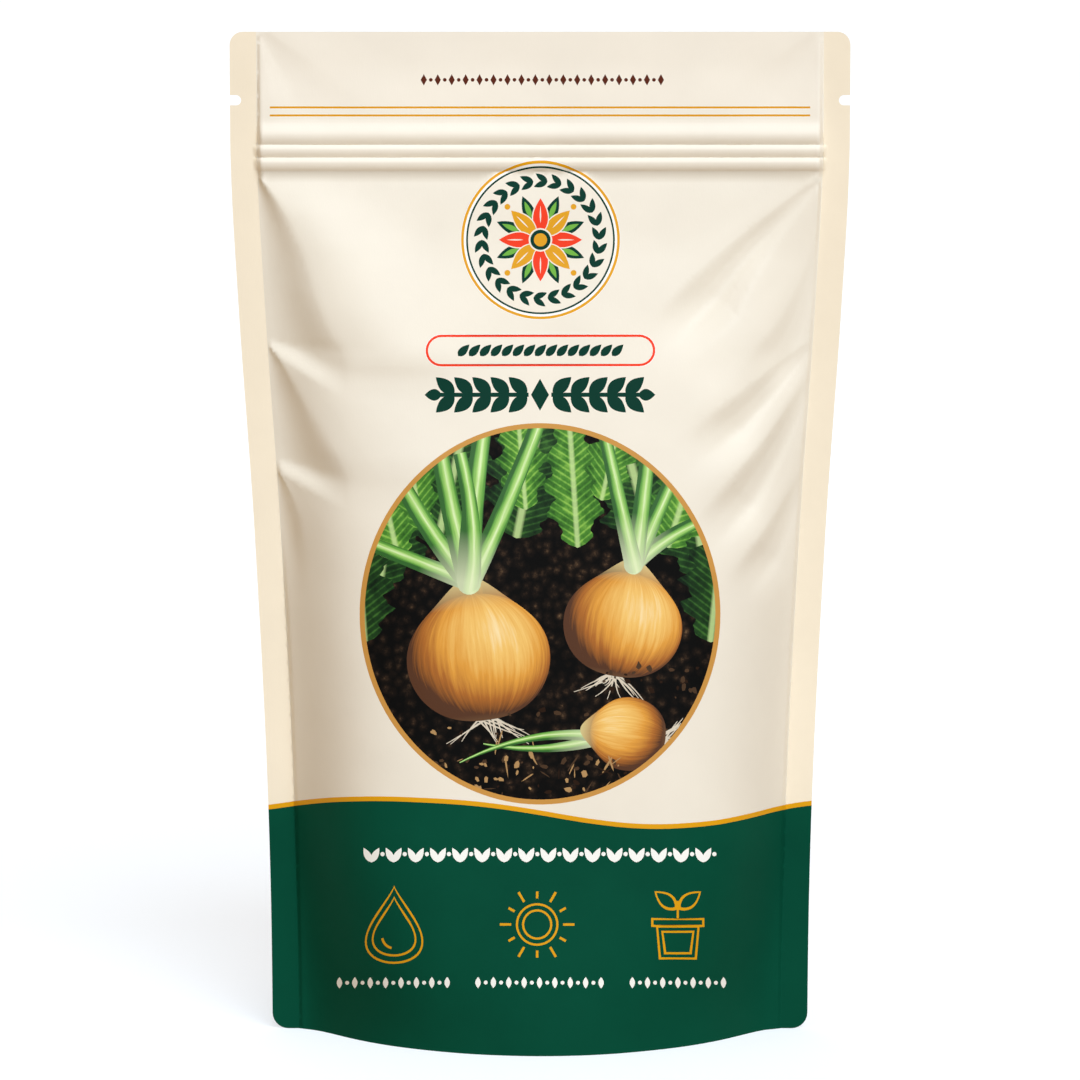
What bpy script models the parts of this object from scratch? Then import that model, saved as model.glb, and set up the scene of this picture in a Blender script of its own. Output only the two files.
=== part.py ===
"""A filled stand-up pouch for garden seeds: two film panels, a bottom gusset, a press zipper and the seeds.

Blender 4.5. All sizes are in millimetres and are turned to metres when a mesh is made.
X runs across the pouch, the front faces -Y, Z is up, and the pouch stands on Z = 0.
"""

import bmesh
import bpy
import numpy as np

MM = 0.001
COLUMNS = 24

# The pouch laid flat
POUCH_HEIGHT = 212.0
SIDE_SEAL = 5.6
TOP_CORNER_RADIUS = 2.8
BOTTOM_CORNER_RADIUS = 3.4
FILM = 0.35
HALF_SEAM_GAP = 0.15
CLEARANCE = 0.35

# The pouch filled: its half width and how far a panel stands out in the middle, at heights up the side
HALF_WIDTH = ((0, 57.2), (20, 57.3), (45, 57.75), (105, 60.3), (155, 63.5), (182, 64.85), (190, 65.0), (212, 65.0))
BELLY = ((0, 27.5), (6, 27.3), (45, 23.4), (105, 17.6), (150, 8.6), (172, 2.8), (182.6, 0.0))
AIR_GAP = 0.9
SEAL_ROLL = 1.8
SOFT_START = 7.0

# The press zipper: its tape, its two tracks, and the rolls that it raises in the film
TAPE_HEIGHTS = (181.3, 192.8)
TAPE = 0.35
TRACK_HEIGHTS = (184.1, 187.0)
TAPE_STAND_OFF = 0.75
ZIPPER_END = 2.2
ROLLS = ((182.7, 185.75, 0.75), (185.75, 188.35, 0.65), (188.35, 193.5, 0.8))
HOOK_REACH = 0.95
HOOK_THICK = 0.35
HOOK_TALL = 1.55
RIB_THICK = 0.5
RIB_TALL = 1.6
RIB_HEAD = 0.9

# The tear notches
NOTCH_HEIGHT = 197.7
NOTCH_DEPTH = 2.35
NOTCH_WIDTH = 2.1

# The bottom gusset
FLANGE = 3.6
GUSSET_MIDDLE = 9.0
GUSSET_SIDES = 35.0
GUSSET_REACH = 0.9767

# The seeds
SEEDS_TOP = 88.0
SEEDS_MOUND = 4.0
SEEDS_REACH = 0.93
SEEDS_CLEARANCE = 1.6

# Dents where the filled film puckers at the side seals, on the front panel.
# Each is (side, middle X from the seal, middle Z, half length, half width, lean in degrees, depth as a share).
DENTS = (
    (-1, 8.2, 160.5, 20.0, 5.2, 65, 0.55),
    (-1, 7.6, 133.5, 15.0, 4.8, 56, 0.52),
    (-1, 4.6, 110.0, 11.5, 3.8, 63, 0.45),
    (1, 12.5, 174.0, 14.0, 3.6, 27, 0.30),
    (1, 8.3, 140.5, 12.0, 3.8, 35, 0.36),
    (1, 7.9, 128.5, 14.0, 4.0, 52, 0.42),
    (1, 5.0, 113.5, 10.5, 3.8, 54, 0.38),
)

COLOURS = {
    "front_panel": ("printed_film_front", "#F5EAD6", 0.42),
    "back_panel": ("printed_film_back", "#F3E6D0", 0.42),
    "bottom_gusset": ("printed_film_base", "#0A4A38", 0.42),
    "zipper_rib_strip": ("zipper_polyethylene", "#E9E4DA", 0.35),
    "zipper_groove_strip": ("zipper_polyethylene", "#E9E4DA", 0.35),
    "seed_fill": ("brown_seeds", "#3A261D", 0.6),
}


def clear_scene():
    for obj in list(bpy.data.objects):
        bpy.data.objects.remove(obj, do_unlink=True)


def through(value, stations):
    """A smooth curve through the stations that makes no bumps between them (a monotone cubic)."""
    at, heights = (np.array(column, float) for column in zip(*stations))
    steps = np.diff(at)
    slopes = np.diff(heights) / steps
    tangents = np.zeros(len(at))
    same_way = slopes[1:] * slopes[:-1] > 0
    blend = 2 * slopes[1:] * slopes[:-1] / np.where(same_way, slopes[1:] + slopes[:-1], 1)
    tangents[1:-1] = np.where(same_way, blend, 0)
    tangents[-1] = slopes[-1]
    value = np.clip(value, at[0], at[-1])
    cell = np.clip(np.searchsorted(at, value) - 1, 0, len(steps) - 1)
    share = (value - at[cell]) / steps[cell]
    rise = steps[cell]
    return (
        (1 + 2 * share) * (1 - share) ** 2 * heights[cell]
        + share * (1 - share) ** 2 * rise * tangents[cell]
        + share**2 * (3 - 2 * share) * heights[cell + 1]
        + share**2 * (share - 1) * rise * tangents[cell + 1]
    )


def eased(share):
    share = np.clip(share, 0, 1)
    return share * share * (3 - 2 * share)


def seal_edge(z):
    """The half width inside the side seals at height z."""
    return through(z, HALF_WIDTH) - SIDE_SEAL


def outer_edge(z):
    """The half width of the cut film at height z, with its rounded corners."""
    width = through(z, HALF_WIDTH)
    into_top = np.clip(z - (POUCH_HEIGHT - TOP_CORNER_RADIUS), 0, TOP_CORNER_RADIUS)
    into_bottom = np.clip(BOTTOM_CORNER_RADIUS - z, 0, BOTTOM_CORNER_RADIUS)
    width -= TOP_CORNER_RADIUS - np.sqrt(TOP_CORNER_RADIUS**2 - into_top**2)
    width -= BOTTOM_CORNER_RADIUS - np.sqrt(BOTTOM_CORNER_RADIUS**2 - into_bottom**2)
    return width


def zipper_rolls(z):
    """The round ridges that the zipper's tracks and tape raise across the film."""
    height = np.zeros_like(z)
    for low, high, tall in ROLLS:
        share = np.clip((z - low) / (high - low), 0, 1)
        height += tall * (1 - (2 * share - 1) ** 2) ** 0.7
    return height


def dents(x, z):
    """The share of the belly that the puckers take away at (x, z)."""
    taken = np.zeros_like(z)
    inward = seal_edge(z)
    for side, middle_in, middle_z, half_length, half_width, lean, depth in DENTS:
        across = inward - side * x - middle_in
        down = middle_z - z
        turn = np.radians(lean)
        along = (across * np.cos(turn) + down * np.sin(turn)) / half_length
        off = (across * np.sin(turn) - down * np.cos(turn)) / half_width
        off = np.where(off > 0, off * 1.5, off * 0.75)
        taken += depth * np.exp(-(along**4)) * np.exp(-(off**2))
    return np.clip(taken, 0, 0.75)


def belly(x, z):
    """How far the filling pushes a panel out. The base keeps the gusset's soft curve, and higher up the panel is
    flatter across its middle. It starts softly from its seals."""
    edge = seal_edge(z)
    above_base = eased(z / 45)
    roundness = 2 + 2.8 * above_base + 0.2 * eased((z - 110) / 35)
    across = np.clip(1 - (np.abs(x) / edge) ** roundness, 0, 1)
    pressed = np.exp(-((np.clip(edge - np.abs(x), 0, None) / SOFT_START) ** 1.4))
    return through(z, BELLY) * across * (1 - (1 - 0.6 * above_base) * pressed)


def stand_out(x, z, puckered):
    """How far a panel's inner face stands out from the seam plane."""
    x, z = np.broadcast_arrays(np.asarray(x, float), np.asarray(z, float))
    inside = eased((seal_edge(z) - np.abs(x)) / SEAL_ROLL)
    filled = belly(x, z)
    if puckered:
        filled = filled * (1 - dents(x, z))
    tape = TAPE_STAND_OFF * eased((z - 164) / 17) * eased((206 - z) / 13)
    return inside * (AIR_GAP + tape + zipper_rolls(z)) + filled


def triangle_grid(bm, corners, flip):
    """Triangles over a grid of vertices, split alike on every face of the same grid."""
    rows, columns = len(corners), len(corners[0])
    for i in range(rows - 1):
        for j in range(columns - 1):
            a, b = corners[i][j], corners[i][j + 1]
            c, d = corners[i + 1][j + 1], corners[i + 1][j]
            for face in ((a, b, c), (a, c, d)):
                bm.faces.new(face[::-1] if flip else face)


def sheet_object(name, near, far):
    """A closed sheet between two grids of points, near and far, joined along their rims."""
    bm = bmesh.new()
    grids = []
    for points in (near, far):
        grids.append([[bm.verts.new(point * MM) for point in row] for row in points])
    near_verts, far_verts = grids
    triangle_grid(bm, near_verts, flip=False)
    triangle_grid(bm, far_verts, flip=True)
    rims = []
    for verts in grids:
        rim = list(verts[0])
        rim += [row[-1] for row in verts[1:]]
        rim += list(verts[-1][-2::-1])
        rim += [row[0] for row in verts[-2:0:-1]]
        rims.append(rim)
    near_rim, far_rim = rims
    for k in range(len(near_rim)):
        following = (k + 1) % len(near_rim)
        bm.faces.new((near_rim[k], far_rim[k], far_rim[following]))
        bm.faces.new((near_rim[k], far_rim[following], near_rim[following]))
    return finished_object(name, bm)


def finished_object(name, bm):
    bmesh.ops.recalc_face_normals(bm, faces=bm.faces[:])
    mesh = bpy.data.meshes.new(name)
    bm.to_mesh(mesh)
    bm.free()
    mesh.shade_smooth()
    mesh.set_sharp_from_angle(angle=np.radians(40))
    obj = bpy.data.objects.new(name, mesh)
    bpy.context.scene.collection.objects.link(obj)
    mesh.materials.append(material(*COLOURS[name]))
    return obj


def linear(hex_colour):
    channels = np.array([int(hex_colour[i : i + 2], 16) / 255 for i in (1, 3, 5)])
    return np.where(channels <= 0.04045, channels / 12.92, ((channels + 0.055) / 1.055) ** 2.4)


def material(name, hex_colour, roughness):
    made = bpy.data.materials.get(name) or bpy.data.materials.new(name)
    made.use_nodes = True
    shader = made.node_tree.nodes["Principled BSDF"]
    shader.inputs["Base Color"].default_value = (*linear(hex_colour), 1)
    shader.inputs["Roughness"].default_value = roughness
    shader.inputs["Metallic"].default_value = 0
    return made


def film_rows(finest):
    """Heights of the panel's grid rows: close together at the corners, the zipper and the puckers."""
    corner = BOTTOM_CORNER_RADIUS * (1 - np.cos(np.radians((0, 25, 50, 75))))
    top_corner = POUCH_HEIGHT - TOP_CORNER_RADIUS * (1 - np.cos(np.radians((90, 60, 30, 0))))
    body = np.linspace(BOTTOM_CORNER_RADIUS, 100, 8)
    puckers = np.arange(100 + finest, 178, finest)
    rolls = [178.5, 181.3, ROLLS[0][0]]
    for low, high, _ in ROLLS:
        rolls += [low + share * (high - low) for share in (0.1, 0.5, 0.9, 1.0)]
    header = [196.0, 200.5, 205.0]
    return np.unique(np.round(np.concatenate((corner, body, puckers, rolls, header, top_corner)), 3))


def inside_shares(reach=1.0):
    """Shares of the way from the middle to a side seal, closer together near the seals, out to reach."""
    shares = np.sin(np.linspace(-np.pi / 2, np.pi / 2, COLUMNS + 1))
    return shares[np.abs(shares) <= reach + 1e-6]


def panel(name, facing, puckered, finest):
    """A film panel. facing is -1 for the front, and 1 for the back."""
    rows, shares = film_rows(finest), inside_shares()
    near, far = [], []
    for z in rows:
        edge, cut = float(seal_edge(z)), float(outer_edge(np.array(z)))
        x = np.concatenate(((-cut, -(cut + edge) / 2), shares * edge, ((cut + edge) / 2, cut)))
        step = 0.01
        out = stand_out(x, z, puckered)
        slope_x = (stand_out(x + step, z, puckered) - stand_out(x - step, z, puckered)) / (2 * step)
        slope_z = (stand_out(x, z + step, puckered) - stand_out(x, z - step, puckered)) / (2 * step)
        if z in (rows[0], rows[-1]):
            slope_z = slope_z * 0
        slope_x, slope_z = np.clip(slope_x, -1.2, 1.2), np.clip(slope_z, -0.6, 0.6)
        slope_x[[0, -1]] = 0
        length = np.sqrt(1 + slope_x**2 + slope_z**2)
        inner = np.stack((x, facing * (HALF_SEAM_GAP + out), np.full_like(x, z)), axis=1)
        normal = np.stack((-slope_x, facing * np.ones_like(x), -slope_z), axis=1) / length[:, None]
        near.append(inner)
        far.append(inner + normal * FILM)
    obj = sheet_object(name, near, far)
    for side in (-1, 1):
        cut_notch(obj, side)
    return obj


def cut_notch(obj, side):
    """Cuts a round-ended tear notch through the panel's side seal."""
    label = "tear_notch_right" if side > 0 else "tear_notch_left"
    cutter = bpy.data.objects.get(label) or notch_cutter(label, side)
    cut = obj.modifiers.new(label, "BOOLEAN")
    cut.operation = "DIFFERENCE"
    cut.solver = "EXACT"
    cut.object = cutter


def notch_cutter(label, side):
    """A flat slot with one round end, long enough to pass through both panels."""
    radius = NOTCH_WIDTH / 2
    edge = 65.0
    turns = np.radians(np.linspace(90, 270, 9))
    outline = [(edge - NOTCH_DEPTH + radius + radius * np.cos(t), radius * np.sin(t)) for t in turns]
    outline += [(edge + 3, -radius), (edge + 3, radius)]
    half_deep = 4.0
    bm = bmesh.new()
    face = bm.faces.new(
        [bm.verts.new((side * x * MM, -half_deep * MM, (NOTCH_HEIGHT + z) * MM)) for x, z in outline]
    )
    through_films = bmesh.ops.extrude_face_region(bm, geom=[face])
    moved = [v for v in through_films["geom"] if isinstance(v, bmesh.types.BMVert)]
    bmesh.ops.translate(bm, verts=moved, vec=(0, 2 * half_deep * MM, 0))
    bmesh.ops.recalc_face_normals(bm, faces=bm.faces[:])
    mesh = bpy.data.meshes.new(label)
    bm.to_mesh(mesh)
    bm.free()
    cutter = bpy.data.objects.new(label, mesh)
    bpy.context.scene.collection.objects.link(cutter)
    cutter.hide_render = True
    cutter.display_type = "WIRE"
    return cutter


def gusset_shape(x):
    """(half depth, straight rise, dome height) of the gusset's middle line at x."""
    half_deep = HALF_SEAM_GAP + stand_out(x, 0.0, False) - CLEARANCE - FILM / 2
    share = np.abs(x) / seal_edge(0.0)
    tall = GUSSET_MIDDLE + (GUSSET_SIDES - GUSSET_MIDDLE) * share**3 - FLANGE
    dome = np.minimum(tall, half_deep)
    return half_deep, tall - dome, dome


def bottom_gusset():
    """The folded base: a flange along each panel, and between them a web that rises to the sides."""
    edge = float(seal_edge(0.0))
    shares = np.concatenate(((-GUSSET_REACH,), inside_shares(GUSSET_REACH), (GUSSET_REACH,)))
    turns = np.linspace(0, np.pi, 15)
    near, far = [], []
    for x in shares * edge:
        half_deep, rise, dome = (float(v) for v in gusset_shape(x))
        line = [(-half_deep, 0.0), (-half_deep, FLANGE)]
        line += [(-half_deep * np.cos(t), FLANGE + rise + dome * np.sin(t)) for t in turns]
        line += [(half_deep, FLANGE), (half_deep, 0.0)]
        line = np.array(line)
        along = np.gradient(line, axis=0)
        along[[0, 1, -2, -1]] = ((0, 1), (0, 1), (0, -1), (0, -1))
        along /= np.linalg.norm(along, axis=1)[:, None]
        upward = np.stack((-along[:, 1], along[:, 0]), axis=1)
        for grid, way in ((near, -0.5), (far, 0.5)):
            offset = line + upward * FILM * way
            offset[[0, -1], 1] = 0
            grid.append(np.column_stack((np.full(len(line), x), offset)))
    return sheet_object("bottom_gusset", near, far)


def strip_object(name, outline):
    """A straight extrusion across the pouch from an outline of (y, z) points."""
    half = float(seal_edge(TRACK_HEIGHTS[0])) - ZIPPER_END
    bm = bmesh.new()
    face = bm.faces.new([bm.verts.new((-half * MM, y * MM, z * MM)) for y, z in outline])
    extruded = bmesh.ops.extrude_face_region(bm, geom=[face])
    moved = [v for v in extruded["geom"] if isinstance(v, bmesh.types.BMVert)]
    bmesh.ops.translate(bm, verts=moved, vec=(2 * half * MM, 0, 0))
    return finished_object(name, bm)


def zipper_strips():
    """The rib strip behind the front panel, and the groove strip behind the back panel."""
    low, high = TAPE_HEIGHTS
    face = HALF_SEAM_GAP + AIR_GAP + TAPE_STAND_OFF - CLEARANCE
    rib_side, groove_side = -(face - TAPE), face - TAPE
    rib = [(-face, high), (-face, low), (rib_side, low)]
    groove = [(face, high), (face, low), (groove_side, low)]
    for track in TRACK_HEIGHTS:
        stem, head = RIB_THICK / 2, RIB_HEAD / 2
        tip, neck = rib_side + RIB_TALL, rib_side + RIB_TALL - 0.6
        rib += [(rib_side, track - stem), (neck, track - stem), (neck, track - head), (tip, track - stem / 2)]
        rib += [(tip, track + stem / 2), (neck, track + head), (neck, track + stem), (rib_side, track + stem)]
        end = groove_side - HOOK_TALL
        for hook in (track - HOOK_REACH, track + HOOK_REACH):
            lower, upper = hook - HOOK_THICK / 2, hook + HOOK_THICK / 2
            groove += [(groove_side, lower), (end, lower), (end, upper), (groove_side, upper)]
    rib.append((rib_side, high))
    groove.append((groove_side, high))
    strip_object("zipper_rib_strip", rib)
    strip_object("zipper_groove_strip", groove)


def seed_fill():
    """The seeds as one body: it fills the pouch from the gusset to a low mound, a little clear of the film."""
    shares = inside_shares(SEEDS_REACH)
    turns = np.radians(np.linspace(16, 164, 11))
    rings = []
    for share in shares:
        x_low = share * float(seal_edge(12.0))
        half_deep, rise, dome = (float(v) for v in gusset_shape(x_low))
        reach, lift = half_deep - 0.05, FILM / 2 + SEEDS_CLEARANCE
        y = np.clip((half_deep + lift) * -np.cos(turns), -reach, reach)
        bottom = np.column_stack((y, FLANGE + rise + (dome + lift) * np.sin(turns)))
        top = SEEDS_TOP + SEEDS_MOUND * np.cos(share * np.pi / 2) + 3 * share
        heights = np.linspace(0, 1, 9)[1:]
        ring = [(x_low, *point) for point in bottom]
        for z in bottom[-1, 1] + (top - bottom[-1, 1]) * heights:
            x = share * float(seal_edge(z))
            ring.append((x, HALF_SEAM_GAP + float(stand_out(x, z, False)) - SEEDS_CLEARANCE, z))
        x_top = share * float(seal_edge(top))
        front = HALF_SEAM_GAP + float(stand_out(x_top, top, True)) - SEEDS_CLEARANCE
        back = ring[-1][1]
        for y in np.linspace(back, -front, 7)[1:]:
            ring.append((x_top, y, top))
        for z in (bottom[0, 1] + (top - bottom[0, 1]) * heights[::-1])[1:]:
            x = share * float(seal_edge(z))
            ring.append((x, -(HALF_SEAM_GAP + float(stand_out(x, z, True)) - SEEDS_CLEARANCE), z))
        rings.append(ring)
    bm = bmesh.new()
    verts = [[bm.verts.new(np.array(point) * MM) for point in ring] for ring in rings]
    around = len(verts[0])
    for i in range(len(verts) - 1):
        for j in range(around):
            k = (j + 1) % around
            bm.faces.new((verts[i][j], verts[i][k], verts[i + 1][k]))
            bm.faces.new((verts[i][j], verts[i + 1][k], verts[i + 1][j]))
    for ring in (verts[0], verts[-1]):
        bmesh.ops.triangulate(bm, faces=[bm.faces.new(ring)])
    return finished_object("seed_fill", bm)


def main():
    clear_scene()
    panel("front_panel", facing=-1, puckered=True, finest=4.5)
    panel("back_panel", facing=1, puckered=False, finest=11.0)
    bottom_gusset()
    zipper_strips()
    seed_fill()


main()
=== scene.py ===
"""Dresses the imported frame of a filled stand-up pouch of garden seeds.

Each film panel starts as a flat sheet of print, cut along the edges of its inks. A Geometry Nodes tree
stands it out into the filled pouch and gives it its thickness. Sizes are in millimetres until a mesh is made. X runs
across the pouch, the front faces -Y, and Z is up.
"""

import math

import bmesh
import bpy
import numpy as np
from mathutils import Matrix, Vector, kdtree
from mathutils.geometry import delaunay_2d_cdt

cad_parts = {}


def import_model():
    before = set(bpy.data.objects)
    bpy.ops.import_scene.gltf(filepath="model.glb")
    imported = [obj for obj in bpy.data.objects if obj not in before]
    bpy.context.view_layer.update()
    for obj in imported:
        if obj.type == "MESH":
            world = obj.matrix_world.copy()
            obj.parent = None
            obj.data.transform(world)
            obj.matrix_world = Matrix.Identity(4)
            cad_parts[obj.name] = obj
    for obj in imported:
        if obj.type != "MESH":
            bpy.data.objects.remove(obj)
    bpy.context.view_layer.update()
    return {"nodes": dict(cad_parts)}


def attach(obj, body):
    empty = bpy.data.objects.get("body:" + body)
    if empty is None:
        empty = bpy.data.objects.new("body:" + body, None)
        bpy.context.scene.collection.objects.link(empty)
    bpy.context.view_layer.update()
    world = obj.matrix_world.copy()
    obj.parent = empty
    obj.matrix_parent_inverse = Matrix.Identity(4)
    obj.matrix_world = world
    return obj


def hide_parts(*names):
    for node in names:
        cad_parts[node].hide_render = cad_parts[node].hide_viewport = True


MM = 0.001
SEED = 7

# The pouch laid flat
POUCH_HEIGHT = 212.0
SIDE_SEAL = 5.6
TOP_CORNER_RADIUS = 2.8
BOTTOM_CORNER_RADIUS = 3.4
FILM = 0.2
HALF_SEAM_GAP = 0.04

# The pouch filled: its half width, and how far a panel stands out in the middle, at heights up the side
HALF_WIDTH = (
    (0, 57.2), (20, 57.3), (45, 57.75), (105, 60.3), (155, 63.5), (182, 64.85), (190, 65.0), (212, 65.0),
)
BELLY = ((0, 27.5), (6, 27.3), (45, 23.4), (105, 17.6), (150, 8.6), (172, 2.8), (182.6, 0.0))
AIR_GAP = 0.7
SEAL_ROLL = 1.1
SOFT_START = 7.0

# The press zipper, and the rolls that it raises across the film. Each roll is (low, high, how far it stands
# out, the share of the way down from its top where it stands out the most)
TAPE_STAND_OFF = 0.7
ROLLS = ((182.95, 185.75, 0.80, 0.35), (185.75, 188.35, 0.70, 0.35), (188.35, 193.5, 0.84, 0.6))
ROLL_REACH = (0.9, 0.9, 0.0)
TAPE_HEIGHTS = (181.3, 192.8)
TAPE = 0.35
TAPE_SUNK = 0.06
TRACK_HEIGHTS = (184.1, 187.0)
ZIPPER_END = 2.2
CRUSHED_END = 4.0
HOOK_REACH = 0.95
HOOK_THICK = 0.35
HOOK_TALL = 1.55
RIB_THICK = 0.5
RIB_TALL = 1.6
RIB_HEAD = 0.9
RIB_HEAD_TALL = 0.6

# The tear notches
NOTCH_HEIGHT = 197.7
NOTCH_DEPTH = 2.35
NOTCH_WIDTH = 2.1

# The bottom gusset
FLANGE = 3.6
GUSSET_MIDDLE = 9.0
GUSSET_SIDES = 35.0
GUSSET_REACH = 0.985
GUSSET_CLEARANCE = 0.03

# The single seeds over the heap
SEED_RADIUS = 0.95
SEED_SPACING = 1.7
UPWARD = 0.6

# A fold's depth across it, from its valley, over the crest on its upper side, to the film that it doesn't touch
PUCKER_PROFILE = (
    (-2.6, 0.0), (-2.1, 0.02), (-1.5, 0.5), (-1.0, 1.0), (-0.6, 0.76), (-0.25, 0.32), (-0.05, 0.05),
    (0.12, -0.07), (0.4, -0.09), (0.9, -0.04), (1.4, 0.0), (1.8, 0.0),
)
PUCKER_LIMIT = 0.9
PUCKER_START = 0.14
PUCKER_POINTS = 37

# Narrow folds. Each is (its start, the point it bends towards, its end, its reach there, the share of the
# panel's height that it takes away, how softly it ends)
FRONT_PUCKERS = (
    ((58.8, 182.0), (41.5, 169.6), (33.0, 161.5), 6.2, 0.36, 1.6),
    ((58.2, 170.0), (54.0, 156.0), (47.5, 148.5), 6.0, 0.30, 1.0),
    ((57.6, 147.8), (50.5, 143.5), (38.5, 134.5), 6.0, 0.20, 1.2),
    ((56.9, 141.0), (50.5, 130.5), (39.5, 118.5), 6.4, 0.22, 1.2),
    ((55.9, 122.0), (51.5, 113.5), (45.0, 105.5), 5.4, 0.20, 1.2),
    ((-58.5, 213.0), (-52.0, 209.0), (-46.0, 204.0), 7.5, 0.55, 1.2),
    ((58.5, 213.0), (53.0, 209.0), (47.0, 205.0), 6.5, 0.45, 1.2),
)
BACK_PUCKERS = (
    ((-58.8, 181.0), (-50.0, 175.5), (-36.0, 170.0), 6.0, 0.32, 1.6),
    ((-56.6, 128.0), (-50.5, 116.0), (-44.5, 106.5), 5.6, 0.24, 1.2),
)

# Hollows, where the film sinks between a side seal and a crest. Each is (the seal's side, the crest's distance
# from the middle at heights up it, how far the crest stands proud at heights up it, and the ridge that closes
# the hollow below). A ridge is (its height at the seal, its height further in, how far in that is from the middle,
# how soft it is at the seal).
HOLLOW_FALL = (
    (0, 1.0), (0.1, 0.985), (0.2, 0.945), (0.3, 0.87), (0.4, 0.745), (0.5, 0.59), (0.6, 0.425), (0.7, 0.275),
    (0.8, 0.155), (0.9, 0.065), (1.0, 0.0),
)
CREST_SOFTNESS = 0.06
CREST_SHARE = 0.4
SWELL_REACH = 15
RIDGE_WIDENS = 4.5
FRONT_HOLLOWS = (
    (
        -1,
        (
            (141.0, 32.0), (145.0, 33.3), (148.7, 36.6), (153.0, 39.4), (157.5, 41.8), (162.0, 43.6),
            (166.3, 45.8), (170.7, 48.8), (175.2, 52.5), (182.0, 59.0),
        ),
        ((139.0, 0.5), (145.0, 1.5), (156.0, 2.4), (166.0, 2.7), (173.0, 2.1), (178.0, 1.1), (182.0, 0.0)),
        (146.4, 139.3, 41.0, 3.2),
    ),
    (
        -1,
        (
            (118.0, 32.5), (122.2, 34.4), (125.5, 36.8), (129.9, 39.8), (134.3, 42.9), (138.7, 46.8),
            (142.0, 50.3), (146.5, 57.2),
        ),
        ((116.0, 0.3), (124.0, 0.8), (140.0, 0.7), (146.5, 0.0)),
        (121.0, 116.3, 41.0, 3.2),
    ),
    (
        -1,
        ((96.0, 43.0), (103.0, 43.4), (108.9, 45.0), (114.4, 48.8), (120.8, 56.0)),
        ((96.0, 0.0), (110.0, 0.3), (120.8, 0.0)),
        (99.0, 101.0, 41.0, 20.0),
    ),
)
BACK_HOLLOWS = (
    (
        1,
        ((139.0, 36.5), (147.0, 38.8), (158.0, 41.5), (168.0, 45.5), (175.0, 51.5), (181.5, 59.0)),
        ((137.0, 0.4), (150.0, 1.8), (170.0, 2.1), (181.5, 0.0)),
        (147.0, 140.0, 41.0, 3.6),
    ),
    (
        1,
        ((119.0, 38.0), (126.0, 40.5), (134.0, 44.5), (141.0, 50.0), (147.0, 57.4)),
        ((117.0, 0.3), (130.0, 0.8), (147.0, 0.0)),
        (123.0, 117.5, 41.0, 4.0),
    ),
    (
        -1,
        ((130.0, 38.5), (140.0, 41.0), (152.0, 46.0), (163.0, 53.0), (170.0, 58.4)),
        ((128.0, 0.4), (145.0, 1.2), (170.0, 0.0)),
        (137.0, 130.0, 41.0, 5.0),
    ),
)
FRONT_FOLDS = (FRONT_PUCKERS, FRONT_HOLLOWS)
BACK_FOLDS = (BACK_PUCKERS, BACK_HOLLOWS)

# The film's mesh: the spacing of its points on each panel, and where and how much closer together they lie
FRONT_SPACING = 1.25
BACK_SPACING = 1.6
FINER = 0.68
FOLDED_HEIGHTS = (92.0, 181.0)
FOLDED_FROM = 26.0
HEADER_START = 194.2
ROLL_SHARES = (0.0, 0.05, 0.12, 0.24, 0.36, 0.48, 0.6, 0.72, 0.84, 0.93)
SEAL_COLUMNS = (-4.4, -2.6, -1.1, -0.55, -0.12, 0.1, 0.3, 0.5, 0.75, 1.05, 1.5, 2.1, 2.8)
PUCKER_ROWS = (-1.5, -1.0, -0.6, -0.25, -0.05, 0.12, 0.5)
HOLLOW_ROWS = (-0.1, 0.0, 0.1, 0.2, 0.3, 0.42, 0.56, 0.74)
CLEAR_OF_ROWS = 0.5
CLEAR_OF_ROWS_AT_SEAL = 0.12
CLEAR_OF_INK = 0.22
CLEAR_OF_INK_ON_ROLLS = 0.1
CLEAR_OF_EDGE = 0.35
SLOPE_STEP = 0.05

# The camera, level with the pouch's middle and a little above it
AIM = Vector((0, 0, 0.105))
CAMERA_DISTANCE = 1.0
CAMERA_ELEVATION = 6.0
LENS = 157.46


def through(value, stations):
    """A smooth curve through the stations that makes no bumps between them (a monotone cubic)."""
    at, heights = (np.array(column, float) for column in zip(*stations))
    steps = np.diff(at)
    slopes = np.diff(heights) / steps
    tangents = np.zeros(len(at))
    same_way = slopes[1:] * slopes[:-1] > 0
    blend = 2 * slopes[1:] * slopes[:-1] / np.where(same_way, slopes[1:] + slopes[:-1], 1)
    tangents[1:-1] = np.where(same_way, blend, 0)
    tangents[-1] = slopes[-1]
    value = np.clip(value, at[0], at[-1])
    cell = np.clip(np.searchsorted(at, value) - 1, 0, len(steps) - 1)
    share = (value - at[cell]) / steps[cell]
    rise = steps[cell]
    return (
        (1 + 2 * share) * (1 - share) ** 2 * heights[cell]
        + share * (1 - share) ** 2 * rise * tangents[cell]
        + share**2 * (3 - 2 * share) * heights[cell + 1]
        + share**2 * (share - 1) * rise * tangents[cell + 1]
    )


def eased(share):
    share = np.clip(share, 0, 1)
    return share * share * (3 - 2 * share)


def seal_edge(z):
    """The half width inside the side seals at height z."""
    return through(z, HALF_WIDTH) - SIDE_SEAL


def outer_edge(z):
    """The half width of the cut film at height z, with its rounded corners."""
    into_top = np.clip(z - (POUCH_HEIGHT - TOP_CORNER_RADIUS), 0, TOP_CORNER_RADIUS)
    into_bottom = np.clip(BOTTOM_CORNER_RADIUS - z, 0, BOTTOM_CORNER_RADIUS)
    top = TOP_CORNER_RADIUS - np.sqrt(TOP_CORNER_RADIUS**2 - into_top**2)
    bottom = BOTTOM_CORNER_RADIUS - np.sqrt(BOTTOM_CORNER_RADIUS**2 - into_bottom**2)
    return through(z, HALF_WIDTH) - top - bottom


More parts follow.
